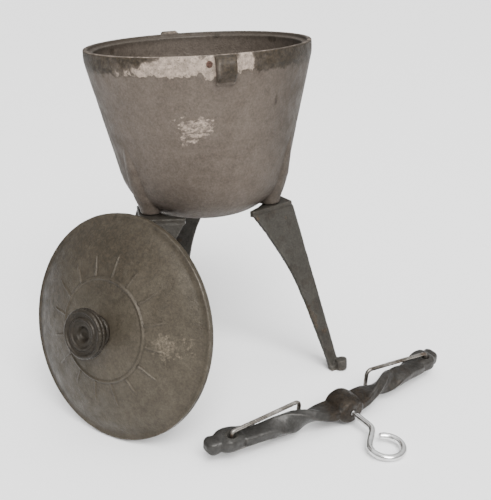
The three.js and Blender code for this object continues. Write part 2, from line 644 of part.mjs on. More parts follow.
// eye screw: straight shank, a short kink, then an open ring
function eyeScrewPoints() {
  const pts = [
    V3(0, 0, TIP_AT), V3(0, 0, 0), V3(0, 0, EYE_AT - 28), V3(-0.7, 0, EYE_AT - 23.6),
    V3(-3.4, 0, EYE_AT - 19.8), V3(-8.2, 0, EYE_AT - 15.8), V3(-13.2, 0, EYE_AT - 11.8),
  ];
  const n = 26;
  for (let k = 0; k <= n; k += 1) {
    const a = rad(lerp(212, -70, k / n));
    pts.push(V3(EYE_SIDE + EYE_R * Math.cos(a), 0, EYE_AT + EYE_R * Math.sin(a)));
  }
  return pts;
}
const eyeModel = wire(eyeScrewPoints(), SCREW_BAR_R, 12);
piece('eye_screw', tf(eyeModel, clampM), 0xc9c9c6, 0.3, 1.0);

// ----------------------------------------------- origin at the bottom centre
const box3 = new THREE.Box3().setFromObject(group);
const shift = [-(box3.min.x + box3.max.x) / 2, -(box3.min.y + box3.max.y) / 2, -box3.min.z];
group.children.forEach((mesh) => mesh.geometry.translate(...shift));
group.userData.shift = shift;

export default group;
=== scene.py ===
"""Footed cast-iron pot with a clamp-down lid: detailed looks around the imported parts.

Lengths below are in millimetres round the pot's own axis and are moved into the
row frame by to_frame(). The lid, the clamp and their small parts are built in
their own flat frames and then placed.
"""

import json
import math

import bpy
import numpy as np
from mathutils import Matrix, Vector


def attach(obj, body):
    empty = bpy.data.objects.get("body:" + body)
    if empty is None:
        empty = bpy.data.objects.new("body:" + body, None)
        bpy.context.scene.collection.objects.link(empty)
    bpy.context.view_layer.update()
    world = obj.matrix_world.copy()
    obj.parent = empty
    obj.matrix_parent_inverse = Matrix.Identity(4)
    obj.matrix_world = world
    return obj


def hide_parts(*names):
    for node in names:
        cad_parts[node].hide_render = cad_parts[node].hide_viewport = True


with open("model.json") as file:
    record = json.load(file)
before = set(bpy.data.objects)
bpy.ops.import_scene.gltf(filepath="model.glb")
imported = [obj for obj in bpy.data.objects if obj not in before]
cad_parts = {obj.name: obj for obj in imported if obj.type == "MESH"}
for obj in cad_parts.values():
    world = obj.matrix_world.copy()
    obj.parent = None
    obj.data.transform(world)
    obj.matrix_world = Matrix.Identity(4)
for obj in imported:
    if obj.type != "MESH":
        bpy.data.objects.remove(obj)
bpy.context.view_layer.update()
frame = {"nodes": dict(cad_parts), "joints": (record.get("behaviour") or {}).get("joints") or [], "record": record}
record = frame["record"]

# ------------------------------------------------------------------ placement
openings = {o["name"]: o["box_m"] for o in record["physics"]["openings"]}
mouth = openings["pot_mouth_middle"]
SHIFT = np.array([
    (mouth[0][0] + mouth[1][0]) * 500.0,
    (mouth[0][1] + mouth[1][1]) * 500.0,
    0.0,
])
joints = {j["name"]: j for j in frame["joints"]}
CLAMP_AT = np.array(joints["eye_turn"]["pos_m"], float) * 1000 - SHIFT
CZ = np.array(joints["eye_turn"]["axis"], float)
CZ /= np.linalg.norm(CZ)
CY = np.array(joints["bail_left_swing"]["axis"], float)
CY /= np.linalg.norm(CY)
CU = np.cross(CY, CZ)
CU /= np.linalg.norm(CU)

RIM_Z, RIM_R, SEAT_R, SEAT_DEPTH, BORE_R = 302.0, 100.0, 95.4, 3.0, 91.6
POT_OUTER = [
    (0, 148), (16, 148.4), (31, 150.6), (45, 155), (57, 162), (66, 170), (72, 179), (76.4, 190.5), (81, 210),
    (85.5, 230), (90.1, 250), (94.8, 270), (98.2, 285), (99.6, 291), (99.95, 295),
]
POT_INNER = [
    (91.6, 284), (90.1, 271), (85.2, 250), (80.4, 230), (75.8, 210), (71.2, 191), (66.8, 181.5), (61.4, 174.6),
    (53, 167.2), (42.5, 160.4), (30, 156), (16, 153.9), (0, 153.5),
]
LEG_ANGLES = [-22, -142, 109]
BOSS_TURN, BOSS_R, BOSS_RAD, BOSS_Z = -1.5, 61.5, 9.5, 160.0
LUGS = [(-78, 301.1), (105.5, 304.3)]

LID_R, LID_EDGE, LID_WALL = 93.5, 5.0, 5.0
LID_CENTRE = np.array([-78, -128.2, 91.9])
LID_AZ, LID_TILT = math.radians(-37.8), math.radians(13.4)
LID_N = np.array([math.cos(LID_TILT) * math.sin(LID_AZ), -math.cos(LID_TILT) * math.cos(LID_AZ), math.sin(LID_TILT)])
LID_X = np.cross([0, 0, 1.0], LID_N)
LID_X /= np.linalg.norm(LID_X)
LID_Y = np.cross(LID_N, LID_X)
DOME = [(0, 22.6), (10, 22.4), (20, 21.5), (30, 20.1), (40, 18.3), (50, 15.9), (60, 13.0), (70, 9.6), (78, 6.4), (84, 3.2), (87.5, 1.2), (90, 0.5)]
RING_R, RIBS, RIB_IN, RIB_OUT = 42.0, 16, 43.6, 61.0
KNOB_FACE, KNOB_BASE = 42.6, 22.9

HOLE_X, HOLE_R, ARCH = 106.5, 4.0, 11.0
HEAD = [
    (-28, 5.5, 3.4, 0.6, 0), (-19, 7.6, 4.0, -1.0, 0), (-11, 9, 4.8, -1.9, 0), (-8, 9.6, 5.7, -2.1, 0), (-4, 10.4, 6.1, -2.6, 0), (2, 10.8, 6.2, -3, 0), (5.5, 10.2, 6.1, -3.4, -0.2),
    (8.2, 8.8, 5.5, -4.2, -0.8), (9.8, 7.4, 5, -5, -1.2), (11.8, 7.3, 5.4, -5.7, -2), (14.6, 7.5, 5.9, -6.4, -2.6),
    (17.2, 6.5, 5.3, -6.6, -2.8), (19, 4.7, 4, -6.6, -2.8), (20, 2.7, 2.4, -6.6, -2.8),
]
BAR_W, BAR_T, BOSS_W = 20.5, 9.5, 26.0
SCREW_BAR_R, EYE_R, EYE_AT, EYE_SIDE, TIP_AT = 2.75, 13.4, 58.5, -6.6, -17.0
BAIL_WIRE, BAIL_LONG, BAIL_NEAR_H, BAIL_FAR_TOP, BAIL_FAR_LOW = 1.75, 67.7, 9.2, 12.0, 14.0
BAIL_FOLD = [1.0, 4.0]


# ------------------------------------------------------------- numeric helpers
def lid_to_pot(p):
    return LID_CENTRE + p[:, :1] * LID_X + p[:, 1:2] * LID_Y + p[:, 2:3] * LID_N


def clamp_to_pot(p):
    return CLAMP_AT + p[:, :1] * CU + p[:, 1:2] * CY + p[:, 2:3] * CZ


def to_frame(p):
    return (p + SHIFT) / 1000.0


def from_frame(p):
    return p * 1000.0 - SHIFT


def in_axes(p, origin, ax, ay, az):
    q = p - origin
    return np.stack([q @ ax, q @ ay, q @ az], 1)


def smooth(a, b, x):
    t = np.clip((x - a) / (b - a), 0, 1)
    return t * t * (3 - 2 * t)


def _hash(ix, iy, iz, seed):
    n = (ix * 374761393 + iy * 668265263 + iz * 1274126177 + seed * 974634777) & 0xFFFFFFFF
    n = ((n ^ (n >> 13)) * 1274126177) & 0xFFFFFFFF
    n = n ^ (n >> 16)
    return (n & 0xFFFF) / 65535.0


def vnoise(p, scale, seed=0):
    q = p * scale + 31.7
    i = np.floor(q).astype(np.int64)
    f = q - i
    f = f * f * (3 - 2 * f)
    out = np.zeros(len(p))
    for dx in (0, 1):
        for dy in (0, 1):
            for dz in (0, 1):
                w = (f[:, 0] if dx else 1 - f[:, 0]) * (f[:, 1] if dy else 1 - f[:, 1]) * (f[:, 2] if dz else 1 - f[:, 2])
                out += w * _hash(i[:, 0] + dx, i[:, 1] + dy, i[:, 2] + dz, seed)
    return out


def fbm(p, scale, octaves=4, seed=0):
    total, amp, norm = 0.0, 1.0, 0.0
    for o in range(octaves):
        total = total + amp * vnoise(p, scale * 2 ** o, seed + o * 7)
        norm += amp
        amp *= 0.55
    return total / norm


def spline(points, step):
    """Dense polyline along a Catmull-Rom curve through the points."""
    pts = np.array(points, float)
    ext = np.vstack([2 * pts[0] - pts[1], pts, 2 * pts[-1] - pts[-2]])
    out = []
    for i in range(1, len(ext) - 2):
        p0, p1, p2, p3 = ext[i - 1:i + 3]
        n = max(1, int(round(np.linalg.norm(p2 - p1) / step)))
        for k in range(n):
            t = k / n
            out.append(0.5 * ((2 * p1) + (-p0 + p2) * t + (2 * p0 - 5 * p1 + 4 * p2 - p3) * t ** 2 + (-p0 + 3 * p1 - 3 * p2 + p3) * t ** 3))
    out.append(pts[-1])
    return np.array(out)


def rounded(points, radius, step=0.35):
    """Open polyline with its inner corners rounded; each corner may state its own radius."""
    pts = [np.array(p[:2], float) for p in points]
    rad = [p[2] if len(p) > 2 else radius for p in points]
    out = [pts[0]]
    for i in range(1, len(pts) - 1):
        a, p, b = pts[i - 1], pts[i], pts[i + 1]
        u, v = a - p, b - p
        lu, lv = np.linalg.norm(u), np.linalg.norm(v)
        d = min(rad[i], lu * 0.45, lv * 0.45)
        if d < 1e-6:
            out.append(p)
            continue
        s, e = p + u / lu * d, p + v / lv * d
        n = 5
        for k in range(n + 1):
            t = k / n
            out.append((1 - t) ** 2 * s + 2 * t * (1 - t) * p + t * t * e)
    out.append(pts[-1])
    dense = [out[0]]
    for a, b in zip(out[:-1], out[1:]):
        n = max(1, int(math.ceil(np.linalg.norm(b - a) / step)))
        for k in range(1, n + 1):
            dense.append(a + (b - a) * k / n)
    return np.array(dense)


def make_mesh(name, verts, faces):
    """Verts are in millimetres about the pot axis."""
    me = bpy.data.meshes.new(name)
    me.from_pydata([tuple(v) for v in to_frame(np.asarray(verts, float))], [], [tuple(f) for f in faces])
    me.validate()
    me.update()
    me.shade_smooth()
    ob = bpy.data.objects.new(name, me)
    bpy.context.scene.collection.objects.link(ob)
    return ob


def lathe(profile, segs, modulate=None):
    """Closed skin round Z. Profile points on the axis become poles; a profile that never meets the axis closes on itself."""
    prof = np.asarray(profile, float)
    on_axis = [prof[0][0] < 1e-6, prof[-1][0] < 1e-6]
    ang = np.arange(segs) * 2 * math.pi / segs
    verts, rows = [], []
    for r, z in prof:
        if r < 1e-6:
            rows.append([len(verts)])
            verts.append((0.0, 0.0, z))
        else:
            start = len(verts)
            rr = np.full(segs, r)
            zz = np.full(segs, z)
            if modulate is not None:
                rr, zz = modulate(rr, zz, ang)
            for k in range(segs):
                verts.append((rr[k] * math.cos(ang[k]), rr[k] * math.sin(ang[k]), zz[k]))
            rows.append(list(range(start, start + segs)))
    faces = []
    pairs = list(zip(rows[:-1], rows[1:]))
    if not any(on_axis):
        pairs.append((rows[-1], rows[0]))
    for a, b in pairs:
        for k in range(segs):
            l = (k + 1) % segs
            if len(a) == 1 and len(b) == 1:
                break
            if len(a) == 1:
                faces.append((a[0], b[k], b[l]))
            elif len(b) == 1:
                faces.append((a[k], b[0], a[l]))
            else:
                faces.append((a[k], b[k], b[l], a[l]))
    return np.array(verts, float), faces


def loft(loops, closed=False):
    loops = [np.asarray(l, float) for l in loops]
    n = len(loops[0])
    verts = np.vstack(loops)
    faces = []
    rows = len(loops)
    for i in range(rows if closed else rows - 1):
        j = (i + 1) % rows
        for k in range(n):
            l = (k + 1) % n
            faces.append((i * n + k, i * n + l, j * n + l, j * n + k))
    if not closed:
        c0, c1 = loops[0].mean(0), loops[-1].mean(0)
        verts = np.vstack([verts, c0, c1])
        a, b = len(verts) - 2, len(verts) - 1
        for k in range(n):
            l = (k + 1) % n
            faces.append((a, l, k))
            faces.append((b, (rows - 1) * n + k, (rows - 1) * n + l))
    return verts, faces


def wire(points, radius, sides, closed=False):
    pts = np.asarray(points, float)
    n = len(pts)
    radius = np.full(n, radius) if np.isscalar(radius) else radius
    if closed:
        tan = np.roll(pts, -1, 0) - np.roll(pts, 1, 0)
    else:
        tan = np.gradient(pts, axis=0)
    tan /= np.linalg.norm(tan, axis=1)[:, None]
    ref = np.array([0, 1.0, 0]) if abs(tan[0][1]) < 0.9 else np.array([0, 0, 1.0])
    loops = []
    ang = np.arange(sides) * 2 * math.pi / sides
    for i in range(n):
        ref = ref - tan[i] * (ref @ tan[i])
        ref /= np.linalg.norm(ref)
        side = np.cross(tan[i], ref)
        rr = radius[i] if np.ndim(radius[i]) else np.full(sides, radius[i])
        loops.append(pts[i] + (rr * np.cos(ang))[:, None] * ref + (rr * np.sin(ang))[:, None] * side)
    return loft(loops, closed)


def merge(parts):
    verts, faces, base = [], [], 0
    for v, f in parts:
        verts.append(v)
        faces += [tuple(i + base for i in face) for face in f]
        base += len(v)
    return np.vstack(verts), faces


def remesh(ob, voxel_mm, smooth_steps=3):
    """Fuse the overlapping shells into one cast skin with soft inner corners."""
    mod = ob.modifiers.new("fuse", "REMESH")
    mod.mode = "VOXEL"
    mod.voxel_size = voxel_mm / 1000 * 1.0
    mod.use_smooth_shade = True
    sm = ob.modifiers.new("soften", "SMOOTH")
    sm.factor = 0.5
    sm.iterations = smooth_steps
    bake_modifiers(ob)


def bake_modifiers(ob):
    dg = bpy.context.evaluated_depsgraph_get()
    me = bpy.data.meshes.new_from_object(ob.evaluated_get(dg))
    old = ob.data
    ob.modifiers.clear()
    ob.data = me
    me.name = ob.name
    bpy.data.meshes.remove(old)
    me.shade_smooth()


def cut(ob, tools):
    for t in tools:
        mod = ob.modifiers.new("cut", "BOOLEAN")
        mod.operation = "DIFFERENCE"
        mod.solver = "EXACT"
        mod.object = t
    bake_modifiers(ob)
    for t in tools:
        bpy.data.objects.remove(t)


def coords(ob):
    co = np.empty(len(ob.data.vertices) * 3)
    ob.data.vertices.foreach_get("co", co)
    return co.reshape(-1, 3)


def normals(ob):
    no = np.empty(len(ob.data.vertices) * 3)
    ob.data.vertices.foreach_get("normal", no)
    return no.reshape(-1, 3)


def set_coords(ob, co):
    ob.data.vertices.foreach_set("co", np.ascontiguousarray(co, float).ravel())
    ob.data.update()


def set_mask(ob, name, values):
    at = ob.data.attributes.get(name) or ob.data.attributes.new(name, "FLOAT", "POINT")
    at.data.foreach_set("value", np.ascontiguousarray(np.clip(values, 0, 1), np.float32))


def edge_mask(ob, passes, reach_mm):
    """How much each vertex stands out of its smoothed surroundings, 0 to 1, and how much it sits sunk below them,
    which drives painted shade.
    """
    co = coords(ob) * 1000
    no = normals(ob)
    ed = np.empty(len(ob.data.edges) * 2, np.int64)
    ob.data.edges.foreach_get("vertices", ed)
    ed = ed.reshape(-1, 2)
    cnt = np.bincount(ed.ravel(), minlength=len(co)).astype(float)[:, None]
    cnt[cnt == 0] = 1
    s = co.copy()
    for _ in range(passes):
        acc = np.zeros_like(s)
        for c in range(3):
            acc[:, c] = np.bincount(ed[:, 0], s[ed[:, 1], c], len(co)) + np.bincount(ed[:, 1], s[ed[:, 0], c], len(co))
        s = 0.3 * s + 0.7 * acc / cnt
    d = np.einsum("ij,ij->i", co - s, no)
    return np.clip(d / reach_mm, 0, 1), np.clip(-d / reach_mm, 0, 1)


def spot(u, v, cu, cv, ru, rv, soft=0.35, wob=None):
    d = np.sqrt(((u - cu) / ru) ** 2 + ((v - cv) / rv) ** 2)
    if wob is not None:
        d = d + wob
    return 1 - smooth(1 - soft, 1 + soft, d)


# ------------------------------------------------------------------- materials
class Nodes:
    def __init__(self, name):
        self.mat = bpy.data.materials.new(name)
        self.mat.use_nodes = True
        self.nt = self.mat.node_tree
        self.nt.nodes.clear()
        out = self.nt.nodes.new("ShaderNodeOutputMaterial")
        self.bsdf = self.nt.nodes.new("ShaderNodeBsdfPrincipled")
        self.nt.links.new(self.bsdf.outputs[0], out.inputs[0])
        self.co = self.nt.nodes.new("ShaderNodeTexCoord").outputs["Object"]

    def link(self, a, b):
        if isinstance(a, (int, float)):
            b.default_value = a
        elif isinstance(a, tuple):
            b.default_value = (*a, 1.0) if len(a) == 3 else a
        else:
            self.nt.links.new(a, b)

    def noise(self, scale, detail=4, rough=0.55, stretch=None, distortion=0.0):
        n = self.nt.nodes.new("ShaderNodeTexNoise")
        n.inputs["Scale"].default_value = scale
        n.inputs["Detail"].default_value = detail
        n.inputs["Roughness"].default_value = rough
        n.inputs["Distortion"].default_value = distortion
        self.link(self.map(stretch) if stretch else self.co, n.inputs["Vector"])
        return n.outputs["Fac"]

    def map(self, scale):
        m = self.nt.nodes.new("ShaderNodeMapping")
        m.inputs["Scale"].default_value = scale
        self.link(self.co, m.inputs["Vector"])
        return m.outputs["Vector"]

    def cells(self, scale, feature="F1"):
        n = self.nt.nodes.new("ShaderNodeTexVoronoi")
        n.feature = feature
        n.inputs["Scale"].default_value = scale
        self.link(self.co, n.inputs["Vector"])
        return n.outputs["Distance"]

    def attr(self, name):
        n = self.nt.nodes.new("ShaderNodeAttribute")
        n.attribute_type = "GEOMETRY"
        n.attribute_name = name
        return n.outputs["Fac"]

    def ramp(self, fac, lo, hi, a=0.0, b=1.0):
        n = self.nt.nodes.new("ShaderNodeMapRange")
        n.interpolation_type = "SMOOTHSTEP"
        for k, v in zip(("From Min", "From Max", "To Min", "To Max"), (lo, hi, a, b)):
            n.inputs[k].default_value = v
        self.link(fac, n.inputs["Value"])
        return n.outputs["Result"]

    def math(self, op, a, b=0.0, c=0.0):
        n = self.nt.nodes.new("ShaderNodeMath")
        n.operation = op
        self.link(a, n.inputs[0])
        self.link(b, n.inputs[1])
        if op == "MULTIPLY_ADD":
            self.link(c, n.inputs[2])
        return n.outputs[0]

    def mix(self, fac, a, b, mode="MIX"):
        n = self.nt.nodes.new("ShaderNodeMix")
        n.data_type = "RGBA"
        n.blend_type = mode
        n.clamp_factor = True
        self.link(fac, n.inputs["Factor"])
        self.link(a, [s for s in n.inputs if s.name == "A" and s.type == "RGBA"][0])
        self.link(b, [s for s in n.inputs if s.name == "B" and s.type == "RGBA"][0])
        return [s for s in n.outputs if s.type == "RGBA"][0]

    def bump(self, height, strength, distance, after=None):
        n = self.nt.nodes.new("ShaderNodeBump")
        n.inputs["Strength"].default_value = strength
        n.inputs["Distance"].default_value = distance
        self.link(height, n.inputs["Height"])
        if after is not None:
            self.link(after, n.inputs["Normal"])
        return n.outputs["Normal"]


def srgb(r, g, b, k=1.0):
    def lin(c):
        c = c / 255
        return (c / 12.92 if c <= 0.04045 else ((c + 0.055) / 1.055) ** 2.4) * k
    return (lin(r), lin(g), lin(b))


def iron(name, dark, mid, light, rough=0.62, metal=0.25, grain=1.0, bright=(150, 138, 126), rust=(112, 78, 56), stain_and_shade=(44, 36, 27), blotch=22.0, edge=(150, 142, 130), wear=0.4, k=1.0):
    """Cast skin: blotched tone, sand-cast grain and pits, with masks for ground metal with some painted sheen, rust,
    stains with painted shade, worn edges and painted shade in hollows.
    """
    n = Nodes(name)
    big = n.ramp(n.noise(blotch, 5, 0.6), 0.34, 0.68)
    med = n.ramp(n.noise(150, 5, 0.65), 0.36, 0.66)
    col = n.mix(big, srgb(*dark, k), srgb(*mid, k))
    col = n.mix(n.math("MULTIPLY", med, 0.42), col, srgb(*light, k))
    speck = n.ramp(n.noise(520, 4, 0.75), 0.28, 0.74, 0.74, 1.26)
    pits = n.ramp(n.cells(420), 0.12, 0.42, 0.0, 1.0)
    pit_where = n.ramp(n.noise(60, 4, 0.6), 0.42, 0.62)
    # worn, ground and scraped metal, and painted sheen patches where the bar's left arm takes this mask
    ground_and_sheen = n.ramp(n.math("ADD", n.attr("bright"), n.math("MULTIPLY_ADD", n.noise(420, 5, 0.7), 0.7, -0.35)), 0.34, 0.62)
    ground_and_sheen = n.math("MULTIPLY", ground_and_sheen, n.ramp(n.attr("bright"), 0.02, 0.25))
    col = n.mix(ground_and_sheen, col, n.mix(n.ramp(n.noise(240, 4, 0.6), 0.35, 0.65), srgb(*[c * 0.86 for c in bright], k), srgb(*[min(255, c * 1.1) for c in bright], k)))
    fleck = n.math("MULTIPLY", ground_and_sheen, n.ramp(n.noise(430, 5, 0.8), 0.52, 0.66, 0.0, 0.75))
    col = n.mix(fleck, col, srgb(*[c * 1.5 for c in stain_and_shade], k))
    worn = n.ramp(n.math("ADD", n.attr("edge"), n.math("MULTIPLY_ADD", n.noise(300, 4, 0.7), 0.8, -0.4)), 0.42, 0.8)
    worn = n.math("MULTIPLY", worn, n.ramp(n.attr("edge"), 0.06, 0.35))
    col = n.mix(n.math("MULTIPLY", worn, wear), col, srgb(*edge, k))
    rusty = n.ramp(n.math("ADD", n.attr("rust"), n.math("MULTIPLY_ADD", n.noise(360, 5, 0.7), 0.7, -0.35)), 0.3, 0.7)
    rusty = n.math("MULTIPLY", rusty, n.ramp(n.attr("rust"), 0.02, 0.3))
    col = n.mix(rusty, col, n.mix(n.ramp(n.noise(700, 4, 0.6), 0.35, 0.65), srgb(*[c * 0.8 for c in rust], k), srgb(*[min(255, c * 1.2) for c in rust], k)))
    # stains, and painted shade where the stain mask carries it
    dirt_and_shade = n.math("MULTIPLY", n.attr("stain_and_shade"), n.ramp(n.noise(190, 5, 0.7), 0.22, 0.6, 0.45, 1.0))
    col = n.mix(dirt_and_shade, col, n.mix(n.ramp(n.noise(330, 4, 0.6), 0.35, 0.65), srgb(*stain_and_shade, k), srgb(*[c * 1.55 for c in stain_and_shade], k)))
    # painted shade: hollows, recesses and other shaded places are darkened towards the stain colour
    col = n.mix(n.math("MULTIPLY", n.attr("hollow_shade"), 0.6), col, srgb(*[c * 0.9 for c in stain_and_shade], k))
    grey = n.nt.nodes.new("ShaderNodeCombineColor")
    for s in grey.inputs:
        n.link(speck, s)
    col = n.mix(0.85, col, n.mix(1.0, col, grey.outputs[0], "MULTIPLY"))
    n.link(col, n.bsdf.inputs["Base Color"])
    n.bsdf.inputs["Metallic"].default_value = metal
    n.bsdf.inputs["Specular IOR Level"].default_value = 0.25
    rg = n.ramp(n.noise(90, 4, 0.6), 0.3, 0.7, rough - 0.09, rough + 0.1)
    rg = n.math("SUBTRACT", rg, n.math("MULTIPLY", ground_and_sheen, 0.14))
    rg = n.math("SUBTRACT", rg, n.math("MULTIPLY", worn, 0.12))
    rg = n.math("ADD", rg, n.math("MULTIPLY", rusty, 0.16))
    n.link(rg, n.bsdf.inputs["Roughness"])
    nrm = n.bump(n.noise(640, 4, 0.62), 0.55 * grain, 0.00042)
    nrm = n.bump(n.noise(170, 4, 0.6), 0.35 * grain, 0.0011, nrm)
    nrm = n.bump(n.math("MULTIPLY", n.math("SUBTRACT", 1.0, pits), pit_where), 0.38 * grain, -0.0005, nrm)
    nrm = n.bump(n.math("MULTIPLY", n.noise(900, 4, 0.7), n.attr("rust")), 0.7, 0.0006, nrm)
    n.link(nrm, n.bsdf.inputs["Normal"])
    return n.mat


def plated(name, base, dull, rough, metal=0.95, scratch=1.0, k=1.0):
    """Drawn wire: bright metal with fine bumped marks, dulled patches and small dark specks."""
    n = Nodes(name)
    patch = n.ramp(n.noise(70, 5, 0.65), 0.36, 0.66)
    col = n.mix(patch, srgb(*base, k), srgb(*dull, k))
    specks = n.ramp(n.noise(900, 4, 0.75), 0.62, 0.78)
    col = n.mix(n.math("MULTIPLY", specks, 0.55), col, srgb(74, 66, 56, k))
    col = n.mix(n.math("MULTIPLY", n.attr("stain_and_shade"), 0.85), col, srgb(48, 40, 32, k))
    col = n.mix(n.math("MULTIPLY", n.attr("rust"), 0.8), col, srgb(96, 70, 48, k))
    n.link(col, n.bsdf.inputs["Base Color"])
    n.bsdf.inputs["Metallic"].default_value = metal
    rg = n.ramp(n.noise(160, 4, 0.6), 0.3, 0.7, rough - 0.07, rough + 0.12)
    n.link(n.math("ADD", rg, n.math("MULTIPLY", n.attr("stain_and_shade"), 0.3)), n.bsdf.inputs["Roughness"])
    nrm = n.bump(n.noise(1500, 2, 0.6), 0.16 * scratch, 0.00016)
    nrm = n.bump(n.noise(260, 3, 0.6), 0.18 * scratch, 0.0004, nrm)
    n.link(nrm, n.bsdf.inputs["Normal"])
    return n.mat


def dress(ob, mat, body, replaces=()):
    ob.data.materials.clear()
    ob.data.materials.append(mat)
    for name in ("bright", "rust", "stain_and_shade", "edge", "hollow_shade"):
        if ob.data.attributes.get(name) is None:
            set_mask(ob, name, np.zeros(len(ob.data.vertices)))
    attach(ob, body)
    if replaces:
        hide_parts(*replaces)


POT_MAT = iron("pot_skin", (98, 87, 77), (112, 101, 91), (124, 113, 103), rough=0.66, metal=0.15, bright=(186, 168, 152), rust=(86, 62, 52), stain_and_shade=(44, 37, 27), blotch=14, wear=0.25, k=0.54)
LEG_MAT = iron("leg_skin", (78, 74, 67), (90, 86, 79), (102, 97, 89), rust=(104, 90, 74), rough=0.6, blotch=34, edge=(132, 126, 116), bright=(126, 118, 108), wear=0.3, k=0.34)
LID_MAT = iron("lid_skin", (84, 76, 63), (102, 93, 79), (116, 107, 92), rough=0.52, metal=0.25, grain=0.7, bright=(140, 132, 120), rust=(142, 130, 112), stain_and_shade=(52, 45, 35), blotch=18, edge=(128, 119, 104), wear=0.3, k=0.40)
KNOB_MAT = iron("knob_skin", (56, 50, 40), (78, 70, 58), (98, 90, 78), rough=0.46, metal=0.35, grain=1.0, rust=(84, 70, 54), edge=(150, 142, 128), wear=0.62, k=0.3)
BAR_MAT = iron("bar_skin", (70, 68, 64), (88, 86, 83), (102, 101, 99), rough=0.42, metal=0.45, grain=0.7, bright=(118, 118, 118), rust=(58, 46, 36), stain_and_shade=(46, 39, 31), edge=(122, 118, 110), blotch=40, wear=0.3, k=0.40)
SCREW_MAT = iron("screw_skin", (74, 66, 58), (94, 86, 76), (112, 104, 92), rough=0.5, metal=0.7, grain=0.6, blotch=60, k=0.4)
BAIL_MAT = plated("bail_wire", (182, 177, 170), (120, 114, 106), 0.24, 0.9, k=0.7)
EYE_MAT = plated("plated_wire", (232, 232, 231), (200, 199, 197), 0.16, 0.97, 0.6, k=0.95)


# --------------------------------------------------------------------- the pot
def inner_r(z):
    zs = np.array([p[1] for p in POT_INNER][::-1])
    rs = np.array([p[0] for p in POT_INNER][::-1])
    return np.where(z < zs[0], 0.0, np.interp(z, zs, rs))


